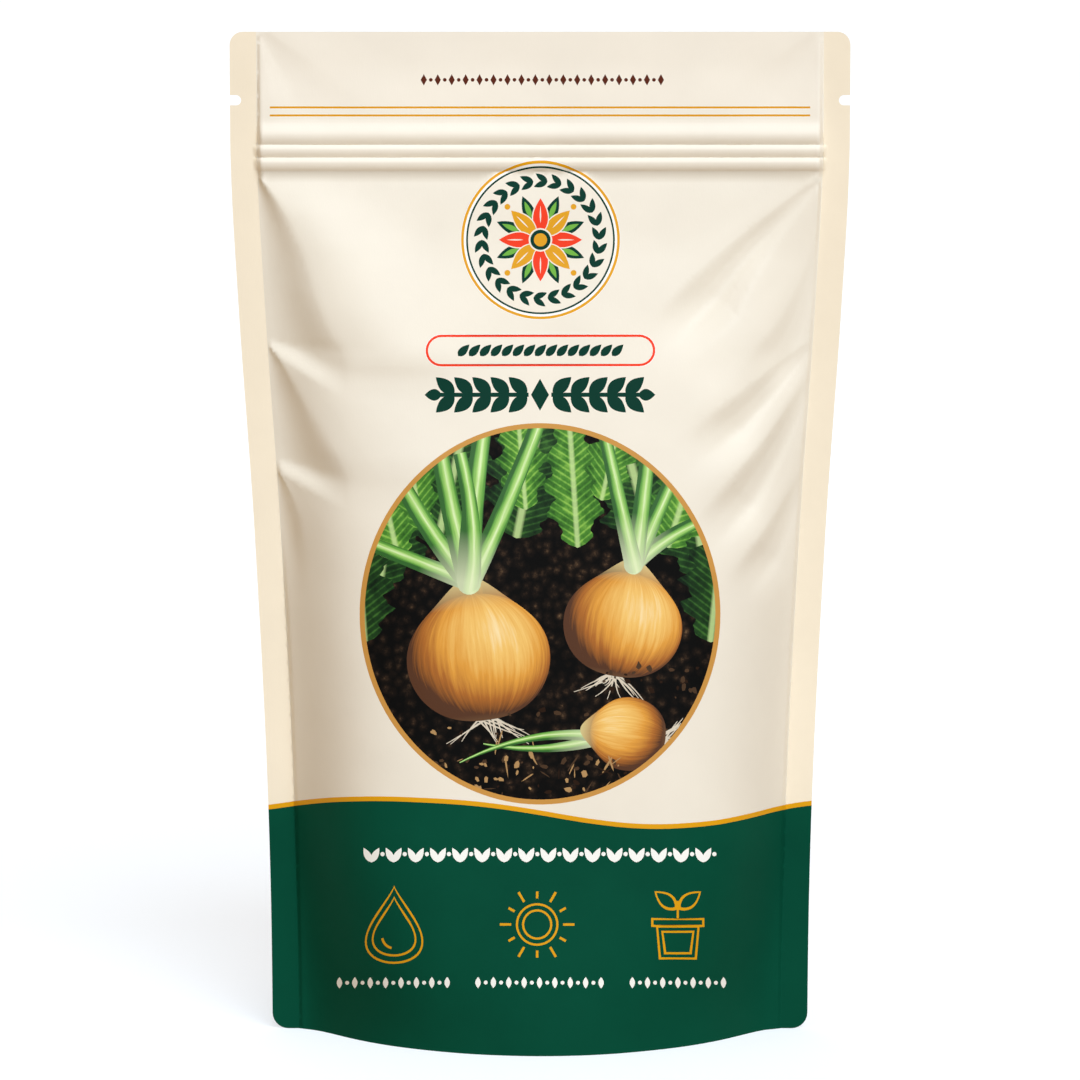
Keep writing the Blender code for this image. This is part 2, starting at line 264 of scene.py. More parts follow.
def zipper_rolls(z, inside):
    """The rolls that the zipper's tracks raise, pinched where the side seals crush them. The tracks' rolls
    start sharply at their tops, and the one over the zipper's upper edge starts softly."""
    height = np.zeros_like(z)
    for k, (low, high, tall, peak) in enumerate(ROLLS):
        down = np.clip((high - z) / (high - low), 0, 1)
        rise = np.clip(down / peak, 0, 1)
        rise = eased(rise) if k == 2 else rise * (2 - rise)
        fall = np.clip((down - peak) / (1 - peak), 0, 1)
        pinch = eased((inside + ROLL_REACH[k]) / 1.3)
        height += tall * pinch * (rise - fall**2)
    return height


def bent_line(start, bend, end, count):
    """Points along a curve from start to end that is pulled towards bend."""
    t = np.linspace(0, 1, count)[:, None]
    return (1 - t) ** 2 * np.array(start) + 2 * t * (1 - t) * np.array(bend) + t**2 * np.array(end)


def pucker(x, z, start, bend, end, reach, depth, softness):
    """The share of the panel's height that a fold takes away. It runs from a seal into the belly along a curved
    path. The film drops from the path's upper side into a valley, which widens along the path to reach."""
    line = bent_line(start, bend, end, PUCKER_POINTS)
    low, high = line.min(axis=0) - 3.5 * reach, line.max(axis=0) + 3.5 * reach
    near = (x > low[0]) & (x < high[0]) & (z > low[1]) & (z < high[1])
    taken = np.zeros_like(x)
    if not near.any():
        return taken
    step = np.diff(line, axis=0)
    length = np.linalg.norm(step, axis=1)
    way = step / length[:, None]
    gap_x, gap_z = x[near, None] - line[None, :-1, 0], z[near, None] - line[None, :-1, 1]
    along = gap_x * way[:, 0] + gap_z * way[:, 1]
    onto = np.clip(along, 0, length)
    off = np.hypot(gap_x - onto * way[:, 0], gap_z - onto * way[:, 1])
    nearest = np.argmin(off, axis=1)
    rows = np.arange(len(nearest))
    across = way[nearest, 0] * gap_z[rows, nearest] - way[nearest, 1] * gap_x[rows, nearest]
    past_start = (nearest == 0) & (along[rows, nearest] < 0)
    past_end = (nearest == len(length) - 1) & (along[rows, nearest] > length[-1])
    across = np.where(past_start | past_end, across, np.sign(across) * off[rows, nearest])
    upper = 1.0 if end[0] > start[0] else -1.0
    share = (nearest + onto[rows, nearest] / length[nearest]) / len(length)
    width = reach * (PUCKER_START + (1 - PUCKER_START) * share)
    past = np.where(past_end, along[rows, nearest] - length[-1], 0) / (softness * reach)
    before = np.where(past_start, -along[rows, nearest], 0) / (0.3 * reach)
    strength = (0.5 + 0.5 * eased(share / 0.5)) * np.exp(-(past**2) - before**2)
    taken[near] = depth * strength * through(across * upper / width, PUCKER_PROFILE)
    return taken


def hollowed(height, x, z, side, crest_path, proud_path, ridge):
    """The panel's height with a hollow in it, which falls from a crest to the seal."""
    crest = through(z, crest_path)
    proud = through(z, proud_path)
    inward = crest - side * x
    full = smooth_stand_out(side * crest, z) + proud
    outward = -inward / np.maximum(seal_edge(z) - crest, 0.05)
    sunk = 1 - full * through(outward, HOLLOW_FALL) / (smooth_stand_out(x, z) + proud + 0.02)
    sunk = (sunk + np.sqrt(sunk**2 + CREST_SOFTNESS**2)) / 2
    kept = 1 - eased(outward / CREST_SHARE) * sunk
    swell = height + proud * np.exp(-((np.clip(inward, 0, None) / SWELL_REACH) ** 2))
    at_seal, further, reach, softness = ridge
    share = np.clip((seal_edge(z) - side * x) / (seal_edge(z) - reach), 0, 1)
    above = z - at_seal - (further - at_seal) * share
    closing = eased(above / (softness + RIDGE_WIDENS * share) + 0.5)
    opened = np.where(z > crest_path[-1][0], 0, closing)
    return height + opened * (swell * kept - height)


def ripples(x, z):
    """The faint waviness of film that has been handled and filled."""
    wave = 0.10 * np.sin(x / 9.0 + 1.7 * np.sin(z / 31.0)) * np.sin(z / 17.0 + 0.8)
    wave += 0.07 * np.sin(x / 5.3 - z / 23.0 + 1.1) * np.sin(z / 12.0 + x / 40.0)
    return wave + 0.035 * np.sin(x / 2.9 + z / 4.7) * np.sin(z / 6.1 - x / 11.0)


def belly(x, z):
    """How far the filling pushes a panel out. The base keeps the gusset's soft curve, and higher up the panel
    is flatter across its middle. It starts softly from its seals."""
    edge = seal_edge(z)
    above_base = eased(z / 45)
    roundness = 2 + 2.8 * above_base + 0.2 * eased((z - 110) / 35)
    across = np.clip(1 - (np.abs(x) / edge) ** roundness, 0, 1)
    pressed = np.exp(-((np.clip(edge - np.abs(x), 0, None) / SOFT_START) ** 1.4))
    return through(z, BELLY) * across * (1 - (1 - 0.6 * above_base) * pressed)


def zipper_tape(z):
    """How far the zipper's tapes hold the panels apart."""
    return TAPE_STAND_OFF * eased((z - 164) / 17) * eased((206 - z) / 13)


def smooth_stand_out(x, z):
    """How far a panel stands out from the seam plane, without its rolls and folds."""
    return eased((seal_edge(z) - np.abs(x)) / SEAL_ROLL) * (AIR_GAP + zipper_tape(z)) + belly(x, z)


def stand_out(x, z, folds):
    """How far a panel's inner face stands out from the seam plane."""
    puckers, hollows = folds
    inside = seal_edge(z) - np.abs(x)
    folded = np.zeros_like(inside)
    for path in puckers:
        folded += pucker(x, z, *path)
    kept = 1 - PUCKER_LIMIT * np.tanh(folded / PUCKER_LIMIT)
    quiet = 1 - 0.8 * eased((z - 176) / 6) * eased((196 - z) / 4)
    tape_kept = 1 - (1 - kept) * eased((181.0 - z) / 3)
    height = eased(inside / SEAL_ROLL) * (AIR_GAP * kept + zipper_tape(z) * tape_kept) + belly(x, z) * kept
    for hollow in hollows:
        height = hollowed(height, x, z, *hollow)
    return height + zipper_rolls(z, inside) + eased((inside - 0.5) / 4) * quiet * ripples(x, z)


# Flat shapes for the print, as lists of points


def circle(middle, radius, count=48, squash=1.0):
    turns = np.arange(count) * 2 * np.pi / count
    return np.column_stack((middle[0] + radius * np.cos(turns), middle[1] + radius * squash * np.sin(turns)))


def turned(points, degrees, middle=(0, 0)):
    turn = math.radians(degrees)
    spin = np.array(((math.cos(turn), math.sin(turn)), (-math.sin(turn), math.cos(turn))))
    return np.asarray(points) @ spin + np.asarray(middle)


def leaf(base, length, width, degrees, count=9, fullness=0.85):
    """A pointed leaf that grows from base."""
    share = np.linspace(0, 1, count)
    half = width / 2 * np.sin(np.pi * share**fullness) ** 0.9
    side = np.column_stack((share * length, half))
    back = np.column_stack((share * length, -half))[-2:0:-1]
    return turned(np.concatenate((side, back)), degrees, base)


def pill(middle, half_length, radius, count=14):
    turns = np.linspace(-np.pi / 2, np.pi / 2, count)
    cap = np.column_stack((np.cos(turns), np.sin(turns))) * radius
    right = cap + (half_length - radius, 0)
    return np.concatenate((right, -right)) + middle


def stroke(points, width, taper=1.0):
    """A band along a line of points. taper is its width at the far end as a share of the near end."""
    points = np.asarray(points, float)
    along = np.gradient(points, axis=0)
    along /= np.linalg.norm(along, axis=1)[:, None]
    half = width / 2 * np.linspace(1, taper, len(points))[:, None]
    side = np.column_stack((-along[:, 1], along[:, 0])) * half
    return np.concatenate((points - side, (points + side)[::-1]))


def curved(points, count):
    """Points along a smooth curve through the given points."""
    points = np.asarray(points, float)
    stations = np.arange(len(points))
    at = np.linspace(0, len(points) - 1, count)
    padded = np.concatenate((2 * points[:1] - points[1:2], points, 2 * points[-1:] - points[-2:-1]))
    cell = np.clip(at.astype(int), 0, len(points) - 2)
    t = (at - stations[cell])[:, None]
    a, b, c, d = (padded[cell + k] for k in range(4))
    return 0.5 * (2 * b + (c - a) * t + (2 * a - 5 * b + 4 * c - d) * t**2 + (3 * b - a - 3 * c + d) * t**3)


class Print:
    """One panel's inks, in the order in which they cover each other, as seen from the camera's distance."""

    def __init__(self):
        self.regions = []

    def add(self, ink, points, figure=None, inside=None):
        """figure turns seen points into the pattern's own coordinates. inside is the region that crops it."""
        self.regions.append((ink, np.asarray(points, float), figure, inside))
        return len(self.regions) - 1


def laid_on_film(points):
    """Points as the camera sees them, in millimetres at its distance, carried on to the panel's x and z."""
    lean = math.radians(CAMERA_ELEVATION)
    far = CAMERA_DISTANCE / MM
    middle = AIM.z / MM
    x, z = points[:, 0], points[:, 1] + middle
    for _ in range(8):
        out = smooth_stand_out(x, np.clip(z, 0, POUCH_HEIGHT)) + FILM
        share = (far - (z - middle) * math.sin(lean) - out * math.cos(lean)) / far
        x = points[:, 0] * share
        z = middle + (points[:, 1] * share + out * math.sin(lean)) / math.cos(lean)
    return np.column_stack((x, z))


# What the front is printed with. Every motif is a common ornament or a plain garden picture.
HEADER_ROW = 97.4
GOLD_LINES = (91.56, 89.87)
GOLD_LINE_REACH = 57.2
GOLD_LINE_WIDTH = 0.44
HALO = 0.12
ROUNDEL = (0.1, 63.5)
ROUNDEL_RADIUS = 16.8
PILL_MIDDLE = (0.1, 40.1)
PILL_HALF = (24.3, 3.35)
GARLAND_ROW = 30.7
OVAL = (0.0, -15.67)
OVAL_HALF = (38.1, 40.35)
OVAL_RIM = 1.05
WAVE = (
    (-66, -57.6), (-57.2, -56.5), (-50.8, -55.65), (-44.5, -55.05), (-38.0, -54.8), (-31.8, -54.8),
    (-25.4, -55.05), (-19.0, -55.4), (-12.7, -55.95), (-6.35, -56.75), (0, -57.75), (6.35, -58.85),
    (12.7, -59.8), (19.0, -60.45), (25.4, -60.65), (31.8, -60.35), (38.1, -59.65), (44.5, -58.35),
    (50.8, -56.75), (56.9, -55.75), (66, -55.0),
)
WAVE_BAND = 1.0
TAGLINE_ROW = -66.5
ICON_ROW = -81.4
ICON_MIDDLES = (-30.8, -0.6, 29.1)
CAPTION_ROW = -93.7
CAPTION_ENDS = ((-42.3, -19.6), (-13.1, 12.9), (19.5, 38.7))


def row_of_motifs(sheet, ink, row, ends, pitch, draw):
    """The same small shapes side by side along a row, evenly spread between its ends."""
    count = int((ends[1] - ends[0]) / pitch) + 1
    for k, u in enumerate(np.linspace(ends[0], ends[1], count)):
        for shape in draw(k, u, row):
            sheet.add(ink, shape)


def header_motif(k, u, v):
    if k % 2:
        return [circle((u, v), 0.4, 12)]
    return [np.array(((u - 0.66, v), (u, v - 1.2), (u + 0.66, v), (u, v + 1.2)))]


def seed_motif(k, u, v):
    return [leaf((u - 1.15, v - 1.15), 3.4, 1.7, 45, count=9, fullness=0.75)]


def tagline_motif(k, u, v):
    if k % 2:
        return [circle((u, v), 0.46, 12)]
    return [leaf((u, v - 1.75), 3.5, 1.45, degrees, count=8) for degrees in (62, 118)]


def caption_motif(k, u, v):
    if k % 2:
        return [circle((u, v), 0.42, 12)]
    return [leaf((u, v - 1.2), 2.4, 1.15, 90, count=8, fullness=1.0)]


def add_roundel(sheet):
    """Two thin rings round a wreath and an eight-petalled rosette."""
    middle = np.array(ROUNDEL)
    for ink, radius in (
        ("white", ROUNDEL_RADIUS + HALO), ("gold", ROUNDEL_RADIUS), ("white", ROUNDEL_RADIUS - 0.56),
        ("deep_green", ROUNDEL_RADIUS - 1.06), ("cream", ROUNDEL_RADIUS - 1.44),
    ):
        sheet.add(ink, circle(middle, radius, 120))
    for k in range(26):
        turn = 360 / 26 * k
        at = turned([(12.4, 0)], turn, middle)[0]
        for lean in (62, 118):
            sheet.add("deep_green", leaf(at, 3.1, 1.3, turn + lean, count=8))
    for k in range(4):
        sheet.add("gold", circle(turned([(9.9, 0)], 45 + 90 * k, middle)[0], 0.62, 14))
    for k in range(8):
        turn = 45 * k + 22.5
        sheet.add("deep_green", leaf(turned([(3.6, 0)], turn, middle)[0], 6.4, 2.5, turn))
        sheet.add("young_green", leaf(turned([(5.0, 0)], turn, middle)[0], 3.8, 1.1, turn, count=7))
    for k in range(8):
        turn = 45 * k
        petal = "gold" if k % 2 else "red"
        sheet.add("cream", leaf(turned([(1.0, 0)], turn, middle)[0], 8.2, 3.7, turn, count=11))
        sheet.add(petal, leaf(turned([(1.2, 0)], turn, middle)[0], 7.6, 3.2, turn, count=11))
        sheet.add("cream", leaf(turned([(3.6, 0)], turn, middle)[0], 3.6, 0.3, turn, count=7))
    for ink, radius in (("cream", 2.5), ("deep_green", 2.15), ("gold", 1.4)):
        sheet.add(ink, circle(middle, radius, 28))


def add_pill(sheet):
    half_length, radius = PILL_HALF
    for ink, inset in (("white", -HALO), ("red", 0.0), ("cream", 0.5)):
        sheet.add(ink, pill(np.array(PILL_MIDDLE), half_length - inset, radius - inset))
    row_of_motifs(sheet, "deep_green", PILL_MIDDLE[1], (-16.2, 16.4), 2.3, seed_motif)


def add_garland(sheet):
    """A bold leafy garland, the same on both sides of a lozenge."""
    v = GARLAND_ROW
    sheet.add("deep_green", np.array(((-1.9, v), (0, v - 3.4), (1.9, v), (0, v + 3.4))))
    for side in (-1, 1):
        stem = [(side * u, v) for u in np.linspace(2.4, 22.0, 20)]
        sheet.add("deep_green", stroke(stem if side > 0 else stem[::-1], 0.9))
        for k in range(5):
            u = side * (2.7 + 3.85 * k)
            for up in (-1, 1):
                degrees = 42 * up if side > 0 else 180 - 42 * up
                sheet.add("deep_green", leaf((u, v + 0.2 * up), 5.3, 2.75, degrees, count=13))
        sheet.add("deep_green", leaf((side * 20.8, v), 3.6, 2.5, 0 if side > 0 else 180, count=11))


def outline_twice(sheet, outer, inner, width):
    """Two thin closed lines, one inside the other, on the green ground."""
    middle = outer.mean(axis=0)
    for shape in (outer, inner):
        sheet.add("gold", shape)
        reach = np.linalg.norm(shape - middle, axis=1)
        nearer = middle + (shape - middle) * (1 - width / reach)[:, None]
        sheet.add("green", nearer)


def add_icons(sheet):
    """Three plain gardening signs in double gold lines: a drop of water, the sun, and a sprout in a pot."""
    width = 0.45
    left, middle, right = ICON_MIDDLES
    v = ICON_ROW

    def drop(tall, wide, lift):
        turns = np.linspace(2 * np.pi, 0, 57)[:-1]
        across = np.sin(turns) * np.sin(turns / 2) ** 1.6
        return np.column_stack((left + wide * across, v + lift + tall * np.cos(turns)))

    outline_twice(sheet, drop(8.3, 8.9, 0), drop(6.4, 6.8, -0.35), width)
    glint = [(left + 2.5 * math.cos(t), v - 2.5 + 2.5 * math.sin(t)) for t in np.linspace(3.3, 4.5, 9)]
    sheet.add("gold", stroke(glint, 0.5))

    outline_twice(sheet, circle((middle, v), 4.5, 48), circle((middle, v), 3.2, 40), width)
    for k in range(12):
        far = 7.0 + 0.9 * (k % 2 == 0)
        ray = [(5.5, -0.26), (far, -0.26), (far, 0.26), (5.5, 0.26)]
        sheet.add("gold", turned(ray, 30 * k, (middle, v)))

    def pot(inset):
        corners = ((-4.6, -0.2), (-4.0, -7.4), (4.0, -7.4), (4.6, -0.2))
        grown_in = [(x - inset * np.sign(x), z + inset * (1 if z < -1 else -1)) for x, z in corners]
        return np.array(grown_in) + (right, v)

    def rim(inset):
        x, low, high = 5.6 - inset, inset - 0.5, 1.4 - inset
        return np.array(((-x, high), (-x, low), (x, low), (x, high))) + (right, v)

    for ink, shape in (
        ("gold", pot(0)), ("green", pot(width)), ("gold", pot(width + 0.65)), ("green", pot(2 * width + 0.65)),
        ("gold", rim(0)), ("green", rim(width)),
    ):
        sheet.add(ink, shape)
    sheet.add("gold", stroke([(right, v + z) for z in np.linspace(1.3, 5.0, 5)], width))
    for side, degrees in ((1, 38), (-1, 142)):
        sheet.add("gold", leaf((right, v + 3.2), 6.2, 3.3, degrees, count=15))
        sheet.add("green", leaf((right + side * 0.62, v + 3.68), 4.9, 2.3, degrees, count=15))


def add_picture(sheet):
    """A plain garden picture: golden onions on dark soil, with their green shoots."""
    draw = np.random.default_rng(SEED)
    middle = np.array(OVAL)
    turns = np.arange(150) * 2 * np.pi / 150
    ring = np.column_stack((np.cos(turns), np.sin(turns)))
    sheet.add("rim", middle + ring * OVAL_HALF)
    crop = sheet.add("soil", middle + ring * (np.array(OVAL_HALF) - OVAL_RIM))

    def paint(ink, points, figure=None):
        sheet.add(ink, np.asarray(points) + middle, figure, crop)

    def ball(centre, half, lean):
        """The coordinates of a round body: its middle is 0 and its edge is 1 away."""
        def figure(points):
            local = turned(points - middle - np.array(centre), -lean)
            return np.column_stack((local / np.array(half), np.full(len(local), centre[0] % 7)))
        return figure

    def blade(start, end, width):
        """The coordinates of a long body: X runs along it in millimetres, Y across it from -1 to 1."""
        along = np.array(end, float) - np.array(start, float)
        along /= np.linalg.norm(along)

        def figure(points):
            local = points - middle - np.array(start)
            across = local @ np.array((-along[1], along[0]))
            return np.column_stack((local @ along, across / (width / 2), np.full(len(local), start[0] % 5)))
        return figure

    def shoot(start, bend, end, width, taper):
        """A shoot, with coordinates that follow its bend."""
        line = bent_line(start, bend, end, 17)
        length = np.concatenate(((0,), np.cumsum(np.linalg.norm(np.diff(line, axis=0), axis=1))))
        tangent = np.gradient(line, axis=0)
        tangent /= np.linalg.norm(tangent, axis=1)[:, None]

        def figure(points):
            local = points - middle
            gap = local[:, None, :] - line[None]
            nearest = np.argmin((gap**2).sum(axis=2), axis=1)
            offset, way = gap[np.arange(len(nearest)), nearest], tangent[nearest]
            across = offset[:, 1] * way[:, 0] - offset[:, 0] * way[:, 1]
            along = length[nearest] + (offset * way).sum(axis=1)
            half = width / 2 * (1 + (taper - 1) * along / length[-1])
            return np.column_stack((along, across / half, np.full(len(local), end[0] * 1.7 % 5)))

        paint("shoot", circle(line[0], width / 2 * 0.98, 18), figure)
        paint("shoot", stroke(line, width, taper), figure)

    def lobed(start, end, width, dark):
        """A leaf with a waved, lobed edge."""
        start, along = np.array(start, float), np.array(end, float) - np.array(start, float)
        share = np.linspace(0, 1, 44)
        waves = 1 + 0.22 * np.sin(share * 10 * np.pi) + 0.08 * np.sin(share * 25 * np.pi + start[0])
        half = width / 2 * np.sin(np.pi * share**0.8) ** 0.7 * waves
        side = np.array((-along[1], along[0])) / np.linalg.norm(along)
        spine = start + share[:, None] * along
        shape = np.concatenate((spine - side * half[:, None], (spine + side * half[:, None])[-2:0:-1]))
        paint("leaf_dark" if dark else "leaf", shape, blade(start, end, width))

    def bulb(centre, half, lean):
        """A round bulb, drawn up to its neck, with fine roots under it."""
        for k in range(15):
            start = turned([(draw.uniform(-0.14, 0.14) * half[0], -0.9 * half[1])], lean, centre)[0]
            tip = (draw.uniform(-0.62, 0.62) * half[0], -draw.uniform(1.12, 1.42) * half[1])
            end = turned([tip], lean, centre)[0]
            bend = (start + end) / 2 + draw.uniform(-1.2, 1.2, 2)
            paint("hair", stroke(bent_line(start, bend, end, 9), 0.42, 0.3))
        turns = np.arange(84) * 2 * np.pi / 84
        high, low = np.clip(np.sin(turns), 0, 1), np.clip(-np.sin(turns), 0, 1)
        x = np.cos(turns) * (1 - 0.12 * high**3)
        y = np.sin(turns) * (1 + 0.26 * high**9 - 0.05 * low**6)
        paint("onion", turned(np.column_stack((x, y)) * half, lean, centre), ball(centre, half, lean))

    def scattered(count, centre, half, size, inks, thin):
        """Bits lying over an oval patch of ground."""
        for _ in range(count):
            turn, reach = draw.uniform(0, 2 * np.pi), math.sqrt(draw.uniform(0, 1))
            at = np.array(centre) + np.array(half) * reach * (math.cos(turn), math.sin(turn))
            sides = 5 + int(draw.integers(3))
            shape = circle((0, 0), size * draw.uniform(0.4, 1.3), sides, thin)
            shape *= draw.uniform(0.7, 1.2, (sides, 1))
            paint(inks[int(draw.integers(len(inks)))], turned(shape, draw.uniform(0, 180), at))

    for start, end, width in (
        ((-34, 6), (-30, 38), 17), ((-22, 14), (-15, 44), 16), ((35, 8), (31, 36), 18),
        ((24, 14), (16, 44), 17), ((-5, 16), (1, 46), 16), ((36, -6), (39, 22), 13),
        ((-37, -6), (-39, 20), 12),
    ):
        lobed(start, end, width, dark=True)
    for start, end, width in (
        ((-30, 12), (-35, 34), 11), ((27, 14), (33, 33), 12), ((8, 14), (6, 44), 11),
        ((-3, 22), (-5, 46), 9), ((13, 24), (18, 46), 9), ((-25, 18), (-29, 42), 9),
    ):
        lobed(start, end, width, dark=False)

    bulb((17.5, -2.5), (12.6, 11.4), -10)
    for bend, end, width in (
        ((30, 20), (42, 22), 3.4), ((26, 24), (34, 42), 3.8), ((22, 24), (24, 46), 4.2),
        ((17, 22), (12, 46), 3.8),
    ):
        shoot((19.8, 10.4), bend, end, width, 0.62)

    bulb((-13.0, -9.5), (15.2, 13.8), 7)
    for bend, end, width in (
        ((-34, 14), (-43, 18), 3.8), ((-28, 22), (-36, 42), 4.4), ((-20, 24), (-23, 46), 4.8),
        ((-8, 20), (1, 44), 4.6), ((-15, 22), (-11, 46), 5.2), ((-13, 18), (-17, 34), 4.2),
    ):
        shoot((-15.0, 6.6), bend, end, width, 0.66)

    scattered(70, (4, -29), (33, 9), 0.9, ("crumb", "speck", "crumb", "straw"), 0.6)
    scattered(26, (25, -14), (12, 4), 0.7, ("crumb", "speck"), 0.7)
    scattered(30, (-2, -31), (32, 8), 1.9, ("straw", "crumb"), 0.1)
    shoot((12.5, -26.4), (1, -30), (-12, -27.5), 2.8, 0.12)
    shoot((12.5, -26.0), (-2, -24), (-17, -31.5), 2.6, 0.12)
    bulb((18.8, -25.4), (7.8, 8.2), 84)
    scattered(34, (0, -35), (30, 5), 0.75, ("crumb", "speck", "straw"), 0.55)
    scattered(9, (13, -33), (12, 2.5), 2.2, ("straw", "speck"), 0.1)


def wave_edge(lift):
    return curved(WAVE, 121) + (0, lift)


def add_ground(sheet):
    """The green foot of the print, under its gold wave."""
    top = wave_edge(WAVE_BAND / 2)
    foot = np.array(((75.0, -125.0), (-75.0, -125.0)))
    sheet.add("gold", np.concatenate((top, foot))[::-1])
    sheet.add("green", np.concatenate((wave_edge(-WAVE_BAND / 2), foot))[::-1])


def add_seal_strips(sheet):
    """The side seals, printed a little darker and yellower than the header's ground as painted shade, where the flat
    seals face the light less than the film beside them.
    """
    z = np.linspace(-1.0, POUCH_HEIGHT + 1.0, 60)
    for side in (-1, 1):
        inner = np.column_stack((side * seal_edge(z), z))
        outer = np.column_stack((np.full(2, side * 70.0), z[[-1, 0]]))
        sheet.add("seal_cream", seen_from_film(np.concatenate((inner, outer)), -1))


def add_header_painted_light(sheet):
    """The header's ground, printed a touch lighter than the body's as painted light; the body's ground below the
    zipper is painted darker as painted shade.
    """
    z = np.linspace(ROLLS[0][0], POUCH_HEIGHT + 1.0, 20)
    right = np.column_stack((seal_edge(z), z))
    sheet.add("header_cream", seen_from_film(np.concatenate((right, (right * (-1, 1))[::-1])), -1))


def add_gold_lines(sheet):
    for v in GOLD_LINES:
        line = [(u, v) for u in np.linspace(-GOLD_LINE_REACH, GOLD_LINE_REACH, 61)]
        sheet.add("white", stroke(line, GOLD_LINE_WIDTH + 2 * HALO))
        sheet.add("gold", stroke(line, GOLD_LINE_WIDTH))


def front_print():
    sheet = Print()
    add_header_painted_light(sheet)
    add_seal_strips(sheet)
    add_ground(sheet)
    add_gold_lines(sheet)
    row_of_motifs(sheet, "brown", HEADER_ROW, (-24.6, 25.6), 1.45, header_motif)
    add_roundel(sheet)
    add_pill(sheet)
    add_garland(sheet)
    add_picture(sheet)
    row_of_motifs(sheet, "white", TAGLINE_ROW, (-35.6, 36.8), 2.3, tagline_motif)
    add_icons(sheet)
    for ends in CAPTION_ENDS:
        row_of_motifs(sheet, "white", CAPTION_ROW, ends, 1.6, caption_motif)
    return sheet


def back_print():
    sheet = Print()
    add_header_painted_light(sheet)
    add_seal_strips(sheet)
    add_ground(sheet)
    add_gold_lines(sheet)
    return sheet


def film_outline():
    """The cut edge of a panel, with its rounded corners and tear notches, as (x, z) points."""
    corner = BOTTOM_CORNER_RADIUS * (1 - np.cos(np.linspace(0, np.pi / 2, 8)))
    top_corner = POUCH_HEIGHT - TOP_CORNER_RADIUS * (1 - np.cos(np.linspace(np.pi / 2, 0, 8)))
    notch = NOTCH_WIDTH / 2
    below = np.arange(BOTTOM_CORNER_RADIUS + 1.5, NOTCH_HEIGHT - notch - 0.5, 1.5)
    above = np.arange(NOTCH_HEIGHT + notch + 1.0, POUCH_HEIGHT - TOP_CORNER_RADIUS - 0.5, 1.5)
    edge = float(through(NOTCH_HEIGHT, HALF_WIDTH))
    turns = np.linspace(-np.pi / 2, np.pi / 2, 11)
    centre = edge - NOTCH_DEPTH + notch
    round_end = [(centre - notch * math.cos(t), NOTCH_HEIGHT + notch * math.sin(t)) for t in turns]
    slot = [(edge, NOTCH_HEIGHT - notch), *round_end, (edge, NOTCH_HEIGHT + notch)]
    right = [(float(outer_edge(z)), z) for z in np.concatenate((corner, below))]
    right += slot + [(float(outer_edge(z)), z) for z in np.concatenate((above, top_corner))]
    across = np.arange(-60.0, 60.1, 2.0)
    top = [(x, POUCH_HEIGHT) for x in across[::-1]]
    bottom = [(x, 0.0) for x in across if abs(x) < seal_edge(0.0) + 1]
    left = [(-x, z) for x, z in right[::-1]]
    return np.array(right + top + left + bottom)


def fold_rows(puckers, hollows):
    """Points in rows along the puckers' and hollows' valleys and crests, so that the mesh bends along them."""
    rows = []
    for side, crest_path, *_ in hollows:
        z = np.arange(crest_path[0][0], crest_path[-1][0], 0.7)
        crest, edge = through(z, crest_path), seal_edge(z)
        rows += [np.column_stack((side * (crest + (edge - crest) * share), z)) for share in HOLLOW_ROWS]
    for start, bend, end, reach, *_ in puckers:
        line = bent_line(start, bend, end, PUCKER_POINTS)
        length = np.linalg.norm(np.diff(line, axis=0), axis=1).sum()
        line = bent_line(start, bend, end, int(length / 1.1) + 2)
        way = np.gradient(line, axis=0)
        way /= np.linalg.norm(way, axis=1)[:, None]
        upward = np.column_stack((-way[:, 1], way[:, 0])) * (1 if end[0] > start[0] else -1)
        width = reach * np.linspace(PUCKER_START, 1, len(line))[:, None]
        rows += [line + upward * width * across for across in PUCKER_ROWS]
    apart = {tuple(np.round(point / 0.35)): point for point in np.concatenate(rows)[::-1]}
    return np.array(list(apart.values()))


def film_grid(spacing):
    """Points inside the panel, close together where it bends sharply: at its seals, zipper and folds."""
    fine = FINER * spacing
    low, high = FOLDED_HEIGHTS
    body = np.concatenate((np.arange(spacing * 0.6, low, spacing), np.arange(low, high, fine)))
    rolls = [foot + (top - foot) * share for foot, top, _, _ in ROLLS for share in ROLL_SHARES]
    header = np.arange(HEADER_START, POUCH_HEIGHT - 0.5, spacing)
    near_seal = np.array(SEAL_COLUMNS)
    points = []
    for z in np.concatenate((body, rolls, header)):
        edge = float(seal_edge(z))
        reach = edge - 3.6
        x = np.concatenate((-(edge - near_seal), edge - near_seal))
        if low <= z < high:
            middle = np.linspace(-FOLDED_FROM, FOLDED_FROM, int(2 * FOLDED_FROM / spacing))
            side = np.linspace(FOLDED_FROM + fine, reach, int((reach - FOLDED_FROM) / fine))
            x = np.concatenate((x, middle, side, -side))
        else:
            x = np.concatenate((x, np.linspace(-reach, reach, int(2 * reach / spacing))))
        points.append(np.column_stack((x, np.full(len(x), z))))
    return np.concatenate(points)


def near_any(points, others, reach):
    """Whether each point is within its reach of one of the others."""
    tree = kdtree.KDTree(len(others))
    for k, other in enumerate(others):
        tree.insert((*other, 0), k)
    tree.balance()
    return np.array([tree.find((*point, 0))[2] for point in points]) < reach


